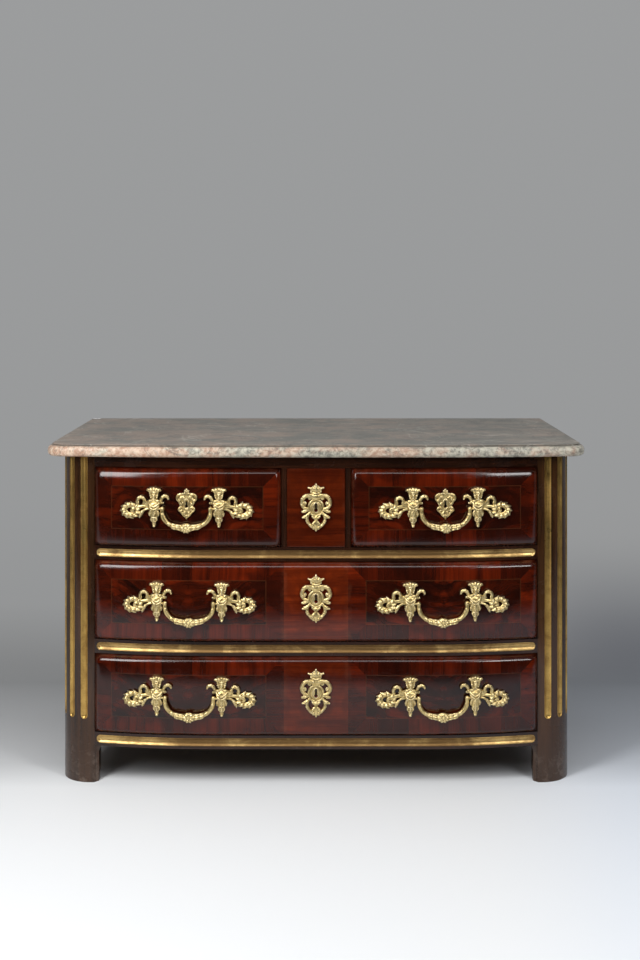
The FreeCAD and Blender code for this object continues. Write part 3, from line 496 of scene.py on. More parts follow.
bottom_row, middle_row, top_row = 0.2185, 0.4445, 0.6705
short_x, short_half, long_half = 0.31, 0.226, 0.536
for drawer, *sizes in (
    ("left_drawer", -short_x, top_row, short_half, 0.0945, short_half, 0.16, True),
    ("right_drawer", short_x, top_row, short_half, 0.0945, short_half, 0.16, True),
    ("centre_drawer", 0.0, top_row, 0.3, 0.0945, 0.072, 0.4, False),
    ("middle_drawer", 0.0, middle_row, long_half, 0.0955, 0.077, 0.0, True),
    ("bottom_drawer", 0.0, bottom_row, long_half, 0.0945, 0.077, 0.24, True),
):
    dress([drawer + "_front"], rosewood(drawer + "_veneer", "XYZ", *sizes))
side_veneer = rosewood(
    "side_panel_veneer", "YXZ", 0.053, 0.442, 0.217, 0.352, 0.217, 0.1, False
)
dress(["side_panel_left", "side_panel_right"], side_veneer)

# Oak: the hidden frame, the boards, the runners and the drawer boxes are plain riven oak,
# planed by hand, dovetailed or nailed, and left without polish. Age and dust have browned it.


def oak(name, order, tone, board=0.0, stained=False):
    made, tree, shader, place = finish(name)
    along = turned_place(tree, place, order)
    if board:
        at = calc(tree, "DIVIDE", axes_of(tree, place)[0], board)
        values = {"W": calc(tree, "FLOOR", at)}
        pick = node(tree, "TexWhiteNoise", values, noise_dimensions="1D").outputs
        along = vector_calc(tree, "ADD", along, pick["Color"])[0]
    figure = figure_on(tree, along, 0.05)
    rays = noise(tree, along, (24.0, 110.0, 110.0), 2.0, 0.5, 1.2)
    stain = noise(tree, place, 5.0, 6.0, 0.65, 0.8)
    dark, light, flake = (
        tuple(part * tone for part in colour)
        for colour in ((0.115, 0.062, 0.027), (0.3, 0.185, 0.09), (0.4, 0.27, 0.15))
    )
    coats = [
        (step(tree, rays, 0.6, 0.7, 0.4), flake),
        (times(tree, figure["Pore"], 0.6), (0.045, 0.024, 0.012)),
        (step(tree, stain, 0.45, 0.75, 0.45), (0.07, 0.042, 0.022)),
    ]
    if board:
        joint = calc(tree, "ABSOLUTE", minus(tree, calc(tree, "FRACT", at), 0.5))
        coats.append((times(tree, pick["Value"], 0.5), (0.085, 0.05, 0.026)))
        coats.append((step(tree, joint, 0.4945, 0.4965), (0.012, 0.007, 0.004)))
    if stained:
        outward = calc(tree, "ABSOLUTE", axes_of(tree, facing_of(tree))[0])
        coats.append((step(tree, outward, 0.6, 0.9, 0.85), (0.024, 0.0095, 0.0042)))
    coats.append((dust_on(tree, place, 0.4), (0.27, 0.23, 0.18)))
    fill(tree, shader, {
        "Base Color": layered(tree, mixed(tree, figure["Streak"], dark, light), *coats),
        "Roughness": polish_on(tree, place, 0.55, 0.82),
    })
    planed = noise(tree, along, (10.0, 45.0, 45.0), 2.0, 0.5)
    bumped(tree, minus(tree, planed, figure["Pore"]), 0.0002, shader)
    return made


drawers = ("left_drawer", "centre_drawer", "right_drawer", "middle_drawer", "bottom_drawer")
dress(["back_boards"], oak("oak_back_boards", "ZXY", 1.15, board=0.2865))
dress(["rear_stile_left", "rear_stile_right"], oak("oak_rear_stiles", "ZXY", 1.0, stained=True))
level_oak = oak("oak_level", "XYZ", 0.9)
dress(["rear_rails", "top_battens"], level_oak)
dress(["dust_board_upper", "dust_board_lower", "bottom_board"], level_oak)
dress([drawer + "_bottom" for drawer in drawers], level_oak)
deep_oak = oak("oak_front_to_back", "YXZ", 1.0)
dress(["drawer_runners"], deep_oak)
dress([drawer + "_box" for drawer in drawers], deep_oak)

# Locks: a wrought iron case let into the back of each drawer front, with a sliding bolt.
# Hammered and filed by hand, browned by age, with rust in the low places.
iron, tree, shader, place = finish("browned_iron")
hammer = noise(tree, place, 140.0, 4.0, 0.6)
rust = step(tree, noise(tree, place, 55.0, 8.0, 0.7, 0.5), 0.5, 0.68)
fill(tree, shader, {
    "Base Color": mixed(tree, rust, (0.14, 0.13, 0.125), (0.12, 0.052, 0.022)),
    "Metallic": minus(tree, 0.95, times(tree, rust, 0.75)),
    "Roughness": plus(tree, times(tree, rust, 0.4), 0.38),
})
bumped(tree, plus(tree, hammer, rust), 0.00025, shader)
for drawer in drawers:
    dress([drawer + "_lock_case", drawer + "_lock_bolt"], iron)

# Handle mounts: cast bronze, chased and fire gilt. A draped term with a plumed head stands on a
# leafy pendant and carries the bail's pivot; a curled leaf springs from its inner shoulder, and
# an open arch, a strut and a leafy roundel from its outer one. A shank and a nut hold each.


def smooth_line(points, count):
    """Evenly counted places along a smooth curve through the points."""
    p = np.array(points, float)
    p = np.vstack([2 * p[0] - p[1], p, 2 * p[-1] - p[-2]])
    spans = len(p) - 3
    t = np.linspace(0, spans, count)
    k = np.minimum(t.astype(int), spans - 1)
    f = (t - k)[:, None]
    a, b, c, d = p[k], p[k + 1], p[k + 2], p[k + 3]
    bend, twist = 2 * a - 5 * b + 4 * c - d, 3 * b - a - 3 * c + d
    return 0.5 * (2 * b + (c - a) * f + bend * f**2 + twist * f**3)


def round_turn(count):
    """Equal angles round a full turn."""
    return [2 * math.pi * j / count for j in range(count)]


def oval(x, out, z, wide, tall, first, last, count):
    """Places along an upright oval, from one angle to another."""
    angles = np.linspace(first, last, count)
    return [(x + wide * math.cos(a), out, z + tall * math.sin(a)) for a in angles]


def sided(side, *points):
    return [(side * x, out, z) for x, out, z in points]


def add_rings(wax, rings, tips):
    """A closed skin over rings of points, with a tip at each end."""
    points, faces = wax
    first = len(points)
    sides = len(rings[0])
    for ring in rings:
        points.extend(map(tuple, ring))
    for i in range(len(rings) - 1):
        for j in range(sides):
            a = first + i * sides + j
            b = first + i * sides + (j + 1) % sides
            faces.append((a, b, b + sides, a + sides))
    for tip, row in zip(tips, (0, len(rings) - 1)):
        points.append(tuple(tip))
        at = len(points) - 1
        for j in range(sides):
            a = first + row * sides + j
            b = first + row * sides + (j + 1) % sides
            faces.append((b, a, at) if row == 0 else (a, b, at))


def stem(wax, points, widths, depth, lobes=0):
    """A tapering stem or leaf of oval section along (x, out, z) points in millimetres."""
    count = 14 * (len(points) - 1)
    line = smooth_line([(x, -out, z) for x, out, z in points], count)
    t = np.linspace(0, 1, count)
    wide = np.interp(t, np.linspace(0, 1, len(widths)), widths)
    if lobes:
        wide = wide * (0.74 + 0.36 * np.abs(np.sin(np.pi * lobes * t)))
    ahead = np.gradient(line, axis=0)
    ahead /= np.linalg.norm(ahead, axis=1)[:, None]
    across = np.cross(ahead, (0, 1, 0))
    across /= np.maximum(np.linalg.norm(across, axis=1), 1e-6)[:, None]
    over = np.cross(across, ahead)
    rings = []
    for at, r, x, y in zip(line, wide, across, over):
        rings.append([
            at + r * (math.cos(a) * x + depth * math.sin(a) * y) for a in round_turn(14)
        ])
    tips = (line[0] - ahead[0] * wide[0] * 0.6, line[-1] + ahead[-1] * wide[-1] * 0.6)
    add_rings(wax, rings, tips)


def leaf(wax, points, width, thick, lobes):
    """A lobed leaf with a raised rib along its middle."""
    widths = [w * width for w in (0.45, 0.85, 1.0, 0.85, 0.55, 0.18)]
    stem(wax, points, widths, thick / width, lobes)
    ribs = [(x, out + thick * 0.75, z) for x, out, z in points]
    stem(wax, ribs, [w * width * 0.26 for w in (1.0, 1.0, 0.8, 0.4)], 0.9)


def bead(wax, x, out, z, wide, deep, tall):
    rings = []
    for i in range(1, 10):
        lift = math.pi * i / 10
        ring = []
        for turn in round_turn(16):
            at = (math.sin(lift) * math.cos(turn), math.sin(lift) * math.sin(turn), -math.cos(lift))
            ring.append((x + wide * at[0], -out + deep * at[1], z + tall * at[2]))
        rings.append(ring)
    add_rings(wax, rings, ((x, -out, z - tall), (x, -out, z + tall)))


def beads(wax, side, *each):
    for x, *sizes in each:
        bead(wax, side * x, *sizes)


def turned(wax, stations, out, depth):
    """An upright turned body through (height, radius) stations, flattened from front to back."""
    line = smooth_line([(r, 0, z) for z, r in stations], 6 * len(stations))
    rings = []
    for r, _, z in line:
        rings.append([(r * math.cos(a), -out + depth * r * math.sin(a), z) for a in round_turn(24)])
    add_rings(wax, rings, ((0, -out, line[0][2] - 0.3), (0, -out, line[-1][2] + 0.3)))


def mesh_of(name, points, faces):
    made = bpy.data.meshes.new(name)
    made.from_pydata(points, [], faces)
    return made


def put(name, data):
    made = bpy.data.objects.new(name, data)
    bpy.context.scene.collection.objects.link(made)
    return made


def shaped(made):
    """The mesh that an object's modifiers leave."""
    graph = bpy.context.evaluated_depsgraph_get()
    return bpy.data.meshes.new_from_object(made.evaluated_get(graph))


def cast(name, wax, grain):
    """One skin over all the wax, in metres, with the chaser's softened edges."""
    points = [tuple(0.001 * c for c in p) for p in wax[0]]
    mesh = mesh_of(name + "_wax", points, wax[1])
    holder = put(name + "_wax", mesh)
    skin = holder.modifiers.new("skin", "REMESH")
    skin.mode = "VOXEL"
    skin.voxel_size = grain
    soften = holder.modifiers.new("soften", "SMOOTH")
    soften.factor = 0.5
    soften.iterations = 2
    made = shaped(holder)
    bpy.data.objects.remove(holder)
    bpy.data.meshes.remove(mesh)
    made.name = name
    return made


def piece(name, mesh, material, body, stands_for, smooth=True):
    mesh.materials.clear()
    mesh.materials.append(material)
    mesh.polygons.foreach_set("use_smooth", [smooth] * len(mesh.polygons))
    made = put(name, mesh)
    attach(made, body)
    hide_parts(stands_for)


def front_at(x, out):
    """The drawer front's y at x, a distance out from the rails' face, in metres."""
    reach = np.maximum(np.abs(x) - flat_half, 0)
    return front_y + bow_radius - np.sqrt((bow_radius + out) ** 2 - reach**2)


def set_on_front(name, mesh, x, z, out, flip, drawer):
    """A gilt casting bent to the front's curve at x and z, which rides with its drawer."""
    placed = mesh.copy()
    co = np.zeros(len(placed.vertices) * 3)
    placed.vertices.foreach_get("co", co)
    co = co.reshape(-1, 3)
    if flip:
        co[:, 0] *= -1
    co[:, 0] += x
    co[:, 1] = front_at(co[:, 0], out - co[:, 1])
    co[:, 2] += z
    placed.vertices.foreach_set("co", co.ravel())
    if flip:
        placed.flip_normals()
    piece(name, placed, gilt, drawer, drawer + "_mounts")


gilt, tree, shader, place = finish("fire_gilt_bronze")
sharp = node(tree, "NewGeometry").outputs["Pointiness"]
patch = noise(tree, place, 130.0, 5.0, 0.65, 0.4)
# Darker and browner in the hollows: dirt, and painted shade as well.
grime_and_shade = times(tree, step(tree, sharp, 0.515, 0.44), step(tree, patch, 0.1, 0.5))
tint = step(tree, patch, 0.36, 0.64)
tint = layered(
    tree, mixed(tree, tint, (0.57, 0.415, 0.16), (0.81, 0.645, 0.305)),
    # Paler on the sharp ridges: burnishing, and a painted highlight as well.
    (step(tree, sharp, 0.505, 0.56, 0.95), (1.0, 0.93, 0.66)),
    (times(tree, grime_and_shade, 0.92), (0.085, 0.05, 0.018)),
)
matt = plus(tree, times(tree, patch, 0.2), 0.22)
fill(tree, shader, {
    "Base Color": tint,
    "Metallic": minus(tree, 1.0, times(tree, grime_and_shade, 0.4)),
    "Roughness": plus(tree, matt, times(tree, grime_and_shade, 0.2)),
})
bumped(tree, noise(tree, place, 330.0, 3.0, 0.6), 0.0005, shader)

wax = ([], [])
drapery = [
    (-45, 0.9), (-43.2, 2.8), (-40, 4.2), (-36.5, 4.8), (-33.5, 4.3), (-30, 5.8), (-26.5, 7.2),
    (-22.5, 8.4), (-18, 9.4), (-14, 9.5), (-9, 9.8), (-4, 11.2), (2, 13.2), (7, 14.8), (11, 15.2),
    (14.5, 13.6), (17.5, 10), (20.5, 7.4), (24.5, 6.8),
]
turned(wax, drapery, 7, 0.75)
headdress = [(22.5, 6.6), (26, 7.6), (30, 9.2), (34, 10.4), (38, 11.6), (42, 12.8), (46, 13.6),
             (49, 12), (50.5, 8)]
turned(wax, headdress, 7.5, 0.55)
for i in range(-2, 3):
    fan = i * 7
    top = (51.6, 50.2, 48.8)[abs(i)]
    plume = [(fan * 0.6, 12.5, 39), (fan * 0.8, 14.6, 44), (fan, 13.4, top - 2.6)]
    stem(wax, plume, [2.4, 3.2, 3.4], 0.9)
    bead(wax, fan, 13.2, top - 2.8, 3.7, 3.4, 3)
bead(wax, 0, 11.4, 32.6, 6.2, 6.6, 7)
stem(wax, [(0, 17.4, 34.6), (0, 18.7, 31.4)], [0.9, 1.2], 0.9)
bead(wax, 0, 17, 28.8, 1.8, 0.9, 0.7)
bead(wax, 0, 15.6, 26.4, 2.3, 1.9, 1.5)
stem(wax, [(-9.8, 9.5, 39), (0, 16.4, 39.4), (9.8, 9.5, 39)], [1.9, 2.2, 1.9], 1)
bead(wax, 0, 8, 21.6, 8.4, 6.8, 1.8)
bead(wax, 0, 8, -21.4, 9.4, 7.2, 1.6)
bead(wax, 0, 8, -31.6, 6.2, 5.4, 1.5)
bead(wax, 0, 8, -41.6, 3.7, 3.5, 3.3)
leaf(wax, [(0, 16.2, -3), (0, 16.6, -9), (0, 15.4, -15), (0, 13, -20)], 4.4, 2.2, 3)
leaf(wax, [(0, 13.4, -22.5), (0, 12.6, -27), (0, 11.4, -32)], 3.2, 2, 2)
for side in (-1, 1):
    brow = sided(side, (0.8, 17.2, 34.8), (3, 16.6, 35.6), (4.8, 14.8, 34.6))
    stem(wax, brow, [0.8, 0.9, 0.6], 0.9)
    beads(wax, side, (2.5, 16.4, 33.2, 1.2, 0.9, 0.8),
          (8.8, 11, 36.4, 3, 3, 3), (8.2, 11, 31.4, 2.8, 2.8, 2.8),
          (7, 11, 26.8, 2.4, 2.4, 2.4), (11.2, 11.2, 42, 3, 3.2, 2.8),
          (16.4, 11.4, 44.2, 2.1, 2.2, 2.6))
    skirt = sided(side, (7.4, 12.4, -3), (9.6, 11.6, -9), (10.9, 10, -14.5), (9.8, 9, -19))
    leaf(wax, skirt, 3.6, 2.2, 3)
    leaf(wax, sided(side, (5.4, 10.8, -22), (6.6, 10, -26.5), (5, 9.2, -31)), 2.8, 1.9, 2)
    swag = sided(side, (13.6, 12.4, 15), (8, 18, 9), (0, 19.4, 5))
    stem(wax, swag, [2, 2.3, 2], 0.9)
    swag = sided(side, (12.2, 13, 7.5), (6.5, 17.8, 1.5), (0, 18.6, -1.5))
    stem(wax, swag, [1.6, 1.8, 1.6], 0.9)
    sleeve = sided(side, (4, 12.5, 18.5), (10, 12.5, 18), (15.5, 8.5, 15), (19.2, 7, 11))
    stem(wax, sleeve, [3, 3.8, 3.8, 2.6], 0.9, 2)
# inner curled leaf
curl = [(11, 6, 13), (15.5, 6, 18), (19.5, 7, 25.5), (26, 8, 30), (32.4, 8, 27.8), (35, 7.5, 21.6)]
stem(wax, curl, [4.2, 3.8, 4, 4.4, 3.9, 2], 0.85)
leaf(wax, [(14, 8.5, 17), (19, 9.5, 26), (26, 10.5, 31), (34, 9.5, 26)], 3.6, 2, 4)
stem(wax, [(13, 6, 12.6), (18, 6, 13), (22.5, 6, 13.2)], [3.4, 2.9, 2.6], 0.85)
# outer arch, link and strut
arch = oval(-31.8, 7, 16.6, 8.9, 9.4, -0.5, math.pi + 0.5, 9)
widths = [4.2, 3.8, 3.8, 4, 4.2, 4.4, 4.4, 4.2, 4, 4.2, 4.6]
stem(wax, [(-14, 6, 9)] + arch + [(-43, 6, 5)], widths, 0.85)
over_arch = [(-23.5, 9, 20), (-27.5, 10, 25.8), (-35, 10, 26.4), (-40.5, 9.4, 20), (-42, 8.6, 13)]
leaf(wax, over_arch, 4, 2, 4)
stem(wax, [(-12, 6, 5.5), (-21, 6, 5), (-31, 6, 4.2), (-42, 6, 1)], [4.4, 3.8, 4, 5.4], 0.8)
strut = [(-10, 6, -1), (-17, 6, -1.6), (-24, 6, -4.4), (-29.8, 6.5, -11), (-34, 6, -21)]
stem(wax, strut, [3, 2.5, 2.8, 3.6, 2.2], 0.85)
leaf(wax, [(-25, 8, -4), (-31, 8.8, -10.5), (-34.4, 8.4, -17.5), (-35.6, 7, -24)], 4.2, 2.2, 3)
# leafy roundel
roundel_x, roundel_z = -57.5, -5.3
hoop = oval(roundel_x, 5, roundel_z, 15.6, 12.2, 0.3, 2 * math.pi + 0.3, 19)
stem(wax, hoop, [5.2, 5.8, 6.8, 8.2, 7.2, 6.2, 5.2], 0.5)
for i in range(11):
    a = 2 * math.pi * (i + 0.3) / 11
    spray = []
    for out, wide, tall, lean in ((7.4, 12.5, 8.6, 0), (9.6, 19, 14.4, 0), (4.6, 27, 21.6, 0.26)):
        spray += oval(roundel_x, out, roundel_z, wide, tall, a + lean, a + lean, 1)
    leaf(wax, spray, 4.4, 2.4, 2)
tendril = [(-40, 6, -1.5), (-46, 7.4, 0.2), (-52.5, 8.4, -1.8), (-54.4, 8.6, -6.4),
           (-49.6, 8.2, -8.2)]
stem(wax, tendril, [4.6, 4.4, 3.9, 3, 2.2], 0.9)
handle_mount = cast("handle_mount", wax, 0.00062)

long_x, post = 0.565 * 0.537, 0.078
rows = {
    "left_drawer": (top_row, (-short_x,)),
    "right_drawer": (top_row, (short_x,)),
    "middle_drawer": (middle_row, (-long_x, long_x)),
    "bottom_drawer": (bottom_row, (-long_x, long_x)),
}
for drawer, (level, handles) in rows.items():
    for x in handles:
        which = "" if len(handles) == 1 else "_a" if x < 0 else "_b"
        for side, hand in ((-1, "_mount_left"), (1, "_mount_right")):
            at = x + side * post
            set_on_front(drawer + hand + which, handle_mount, at, level, proud, side > 0, drawer)

# Shanks and nuts: each mount has a screwed iron shank through the drawer front and a square
# nut behind it, filed by hand. They show only inside an open drawer.
inner_y, shank_radius, thread_depth, thread_pitch = -0.245, 0.003, 0.00045, 0.0015
nut = ((0, 0.0058), (0.0008, 0.0065), (0.0042, 0.0065), (0.005, 0.0058))
nut_corners = ((-1, -1), (1, -1), (1, 1), (-1, 1))
for drawer, (level, handles) in rows.items():
    shell = ([], [])
    z = level - 0.02
    for at in [x + side * post for x in handles for side in (-1, 1)]:
        start = float(front_at(at, proud)) + 0.002
        end = inner_y + nut[-1][0] + 0.009
        rings = []
        for i in range(61):
            y = start + (end - start) * i / 60
            r = shank_radius
            if y >= inner_y - 0.001:
                turn = 2 * math.pi * (y - inner_y) / thread_pitch
                r -= thread_depth * (0.5 + 0.5 * math.cos(turn))
            rings.append([(at + r * math.cos(a), y, z + r * math.sin(a)) for a in round_turn(16)])
        add_rings(shell, rings, ((at, start - 0.0002, z), (at, end + 0.0008, z)))
        for ends in zip(nut, nut[1:]):
            rings = [
                [(at + r * sx, inner_y + y, z + r * sz) for sx, sz in nut_corners]
                for y, r in ends
            ]
            add_rings(shell, rings, [(at, inner_y + y, z) for y, _ in ends])
    mesh = mesh_of(drawer + "_shanks", *shell)
    piece(drawer + "_shanks", mesh, iron, drawer, drawer + "_mounts", smooth=False)

# Bails: cast and gilt like the mounts. A leaf-wrapped rod hangs from two knuckles whose pins
# turn in the mounts, and swells to a scallop shell in the middle, where the fingers pull.
wax = ([], [])
half_span, shoulder, neck, drop, shell_z = 58, 36, 6, 45, -45.5
pivot_out = 0.01
inner = half_span - shoulder
low = (inner**2 + (drop - neck) ** 2 - shoulder**2) / (2 * (drop - neck - shoulder))
bend = math.atan2(inner, low - drop + neck)
right = [(half_span, 0, 0), (half_span, 0, -neck)]
for a in np.linspace(math.pi / 2, bend, 7)[1:]:
    right.append((inner + shoulder * math.sin(a), 0, -neck - shoulder * math.cos(a)))
for a in np.linspace(bend, 0, 4)[1:]:
    right.append((low * math.sin(a), 0, low - drop - low * math.cos(a)))
for side in (-1, 1):
    half_rod = sided(side, *right)
    stem(wax, half_rod, [5, 4.8, 5.3, 5.8, 5.4, 5, 5.4, 6, 6.8, 7.2, 6.2], 0.95)
    bead(wax, side * half_span, 0, 0, 5.4, 5.4, 5.4)
    pin = sided(side, (half_span, 0, 0), (half_span + 8, 0, 0), (half_span + 15.4, 0, 0))
    stem(wax, pin, [2.5, 2.5, 2.4], 1)
    line = smooth_line(half_rod, 60)
    for k, size in ((12, 6), (14, 5.7), (33, 6.1)):
        bead(wax, line[k][0], 0, line[k][2], size * 0.92, size, size * 0.92)
    for k in (38, 44, 50):
        for lean in (-1, 0, 1):
            face = 5.4 - 1.2 * abs(lean)
            stages = zip(line[k::4], (0, 2, 0.8), (2, 4.2, 6.2))
            wrap = [(p[0], face + out, p[2] + rise * lean) for p, out, rise in stages]
            leaf(wax, wrap, 3.2, 2, 2)
bead(wax, 0, 1.5, shell_z, 15, 5.4, 11.5)
for a in round_turn(9):
    rib = [
        (wide * math.sin(a), out, shell_z + tall * math.cos(a))
        for out, wide, tall in ((7.4, 3, 2.6), (8.6, 9.5, 7.6), (5.4, 16, 12.4))
    ]
    leaf(wax, rib, 4.4, 2.2, 2)
bead(wax, 0, 9, shell_z, 3.9, 2.6, 3.6)
bail = cast("bail", wax, 0.00062)

for drawer, (level, handles) in rows.items():
    for x in handles:
        name = drawer + "_bail" + ("" if len(handles) == 1 else "_left" if x < 0 else "_right")
        slope = float(front_at(x + post, proud) - front_at(x - post, proud))
        slope = math.atan2(slope, 2 * post)
        y = float(front_at(x, proud)) - pivot_out / math.cos(slope)
        hung = bail.copy()
        hung.transform(Matrix.Translation((x, y, level)) @ Matrix.Rotation(slope, 4, "Z"))
        piece(name + "_casting", hung, gilt, name + "_body", name)

# Escutcheons: gilt castings pinned round the keyholes. The top side drawers have small
# cartouches with a trefoil crest; the middle column has large openwork ones, an oval plate in a
# frame of C-scrolls under a plume, with leaf tips at the sides and a shell below.
key_rise = 0.007


def keyhole(mesh, low, high, wide, eye):
    """Cuts the key's slot and round eye through a plate, in millimetres about the eye."""
    first = math.acos(wide / eye)
    outline = [(-wide, high), (wide, high)]
    for a in np.linspace(first, -math.pi - first, 22):
        outline.append((eye * math.cos(a), low + eye * math.sin(a)))
    points = [(0.001 * x, y, 0.001 * z) for y in (-0.03, 0.03) for x, z in outline]
    n = len(outline)
    faces = [tuple(range(n - 1, -1, -1)), tuple(range(n, 2 * n))]
    faces += [(i, (i + 1) % n, n + (i + 1) % n, n + i) for i in range(n)]
    punch = put("punch", mesh_of("punch", points, faces))
    plate = put("plate", mesh)
    cut = plate.modifiers.new("cut", "BOOLEAN")
    cut.object = punch
    cut.operation = "DIFFERENCE"
    cut.solver = "EXACT"
    result = shaped(plate)
    for made in (punch, plate):
        bpy.data.objects.remove(made)
    return result


wax = ([], [])
for z, wide, tall in (
    (16, 20, 10.5), (4, 13.5, 10.5), (-8, 14.5, 8), (-18, 9.5, 10.5), (26, 11.5, 6)
):
    bead(wax, 0, 1, z, wide, 3.6, tall)
stem(wax, [(0, 3, -23), (0, 3.2, -28), (0, 2.6, -33.5)], [4, 3, 1.4], 0.8)
stem(wax, oval(0, 4.4, 3.2, 6, 11.8, 0, 2 * math.pi, 13), [1.6, 1.6], 1)
stem(wax, [(0, 3, 31), (0, 3.4, 35)], [2.2, 1.8], 0.9)
bead(wax, 0, 3.2, 38.2, 2.7, 2.5, 2.7)
for side in (-1, 1):
    beads(wax, side, (3.9, 3.2, 34.6, 2.5, 2.3, 2.4), (4.2, 4.2, 29.6, 2.6, 2.4, 2.3),
          (9, 4, 28.2, 2.7, 2.4, 2.4))
    scroll = sided(side, (8, 3.8, 25), (15, 4.4, 27.2), (21.6, 4.4, 22.5), (22, 4.2, 15),
                   (17, 4.4, 12), (14.5, 4.6, 16.5))
    stem(wax, scroll, [2.6, 3.2, 3.4, 3.3, 3, 2.4], 0.9)
    scroll = sided(side, (18, 3.6, 10), (15.5, 3.8, 4), (12, 3.4, -1.5))
    stem(wax, scroll, [2.8, 2.5, 2.2], 0.9)
    scroll = sided(side, (10, 3.4, -4), (15, 3.8, -4.6), (18.2, 3.8, -9.2), (14.6, 3.8, -13.6),
                   (10.5, 3.8, -11))
    stem(wax, scroll, [2.4, 2.9, 3, 2.8, 2.2], 0.9)
    scroll = sided(side, (13, 3.4, -15), (8.5, 3.6, -22), (3, 3.4, -27))
    stem(wax, scroll, [2.5, 2.3, 2.2], 0.9)
    leaf(wax, sided(side, (5, 4.6, 17), (9, 5.4, 21), (14, 4.6, 22)), 3.2, 1.8, 3)
    leaf(wax, sided(side, (9, 4.4, 8), (11, 5, 4), (9, 4.2, 0)), 2.4, 1.6, 3)
    leaf(wax, sided(side, (3, 4.2, -13), (5.4, 4.8, -18), (3, 4.2, -24)), 2.8, 1.7, 3)
small_plate = keyhole(cast("cartouche", wax, 0.00055), -1.5, 11, 2.1, 4)
for drawer, x in (("left_drawer", -short_x), ("right_drawer", short_x)):
    set_on_front(drawer + "_escutcheon", small_plate, x, top_row + key_rise, proud, False, drawer)

wax = ([], [])
bead(wax, 0, 1, 3, 17.5, 3.8, 19)
outer_rim = oval(0, 4.2, 3, 17.8, 19.2, 0, 2 * math.pi, 17)
stem(wax, outer_rim, [2.6, 2.4, 2.6, 2.4, 2.6], 0.95)
stem(wax, oval(0, 4.6, 3.5, 7, 11.5, 0, 2 * math.pi, 13), [1.5, 1.5], 0.9)
crest = [(20, 7), (25, 12), (29, 14), (33, 12.6), (37, 11.4), (41, 10.8), (45, 11.6),
         (49, 12.4), (52, 9)]
turned(wax, crest, 3, 0.42)
bead(wax, 0, 6.5, 31.5, 4, 2.6, 3.4)
bead(wax, 0, 5, 50.5, 8.4, 3.6, 7.6)
leaf(wax, [(0, 7, 42), (0, 8.8, 50), (0, 7, 59)], 4.6, 2.2, 3)
for side in (-1, 1):
    leaf(wax, sided(side, (3, 6.6, 43), (6, 8.2, 49), (8.4, 6.6, 55)), 4.2, 2.1, 3)
    leaf(wax, sided(side, (5, 6, 44), (11, 7.2, 48.6), (18.4, 5.6, 51.4)), 4.4, 2.2, 3)
    beads(wax, side, (17.6, 5.4, 50.8, 2.8, 2.4, 2.4), (6.5, 6.6, 31.5, 2.8, 2.4, 2.6),
          (12, 5.6, 29.5, 2.6, 2.2, 2.4), (11, 5.6, 41.5, 2.8, 2.4, 3))
bead(wax, 0, 6.4, 59.2, 2.4, 2.2, 2.6)
stem(wax, [(-9, 5, 38.5), (0, 8.4, 37.5), (9, 5, 38.5)], [1.8, 2.2, 1.8], 0.95)
for side in (-1, 1):
    scroll = sided(side, (7, 5, 32), (15, 5, 33), (24, 5, 30.5), (31.5, 5, 24), (34, 5, 15.5),
                   (32, 5, 7.5), (26, 5, 2), (18, 4.6, -1))
    stem(wax, scroll, [3.2, 4, 4.5, 4.7, 4.6, 4.3, 3.9, 3.2], 0.85)
    scroll = sided(side, (13, 5, 32), (17.5, 5.4, 27), (15, 5.4, 23.5), (12.5, 5.4, 26.5))
    stem(wax, scroll, [2.6, 2.6, 2.2, 1.5], 0.9)
    scroll = sided(side, (32, 5, 18), (27, 5.4, 11), (24.5, 5.4, 14), (26.5, 5.4, 17.5))
    stem(wax, scroll, [2.4, 2.6, 2.2, 1.5], 0.9)
    frond = sided(side, (16, 7.2, 34), (25, 8.2, 32), (32.5, 8, 25), (35, 7, 16))
    leaf(wax, frond, 4, 2, 5)
    leaf(wax, sided(side, (34, 7, 16), (33, 7.6, 9), (27, 7.2, 3)), 3.4, 1.9, 4)
    frond = sided(side, (18, 5, -3), (25, 5.6, -4), (30, 5.6, -7), (34.5, 5, -6))
    leaf(wax, frond, 4.6, 2.4, 3)
    bead(wax, side * 32.5, 5, -6.4, 3.2, 2.6, 3)
    frond = sided(side, (17, 5, -12), (24, 5.6, -17), (30, 5.2, -20.5), (34, 4.8, -20.5))
    leaf(wax, frond, 4.4, 2.4, 3)
    bead(wax, side * 31.5, 5, -20.4, 2.8, 2.4, 2.6)
    scroll = sided(side, (14, 4.6, -8), (19, 5, -14), (21.5, 5, -22), (19.5, 5, -31), (13, 5, -40),
                   (5, 5, -45))
    stem(wax, scroll, [3, 3.3, 3.6, 3.8, 3.8, 3.4], 0.85)
    leaf(wax, sided(side, (22, 6.8, -19), (21, 7.6, -30), (13, 7.4, -41)), 3.6, 1.9, 4)
    leaf(wax, sided(side, (2.5, 6.4, -29), (7, 7.4, -36), (11, 6.4, -43)), 4, 2.2, 3)
    stem(wax, sided(side, (0, 5, -46), (5, 5, -47), (8, 4.4, -48.5)), [2.4, 2.4, 1.4], 0.9)
    stem(wax, sided(side, (0, 6, -23), (5, 6, -21.5), (9.5, 5.4, -17.5)), [2.2, 2.5, 1.9], 0.9)
bead(wax, 0, 5, -21.5, 5.6, 3.6, 4.6)
stem(wax, [(0, 5, -17), (0, 6, -28), (0, 6, -38), (0, 5, -47)], [3.2, 4.2, 5, 3.6], 0.75)
stem(wax, [(0, 5, -46), (0, 4.6, -51), (0, 4, -54)], [3, 2.6, 1.2], 0.85)
large_plate = keyhole(cast("openwork_plate", wax, 0.0006), -3.5, 14.0, 2.4, 4.6)
for drawer, key, out in (
    ("centre_drawer", top_row - 0.002, 0.002),
    ("middle_drawer", middle_row + key_rise, proud),
    ("bottom_drawer", bottom_row + key_rise, proud),
):
    set_on_front(drawer + "_escutcheon", large_plate, 0.0, key, out, False, drawer)

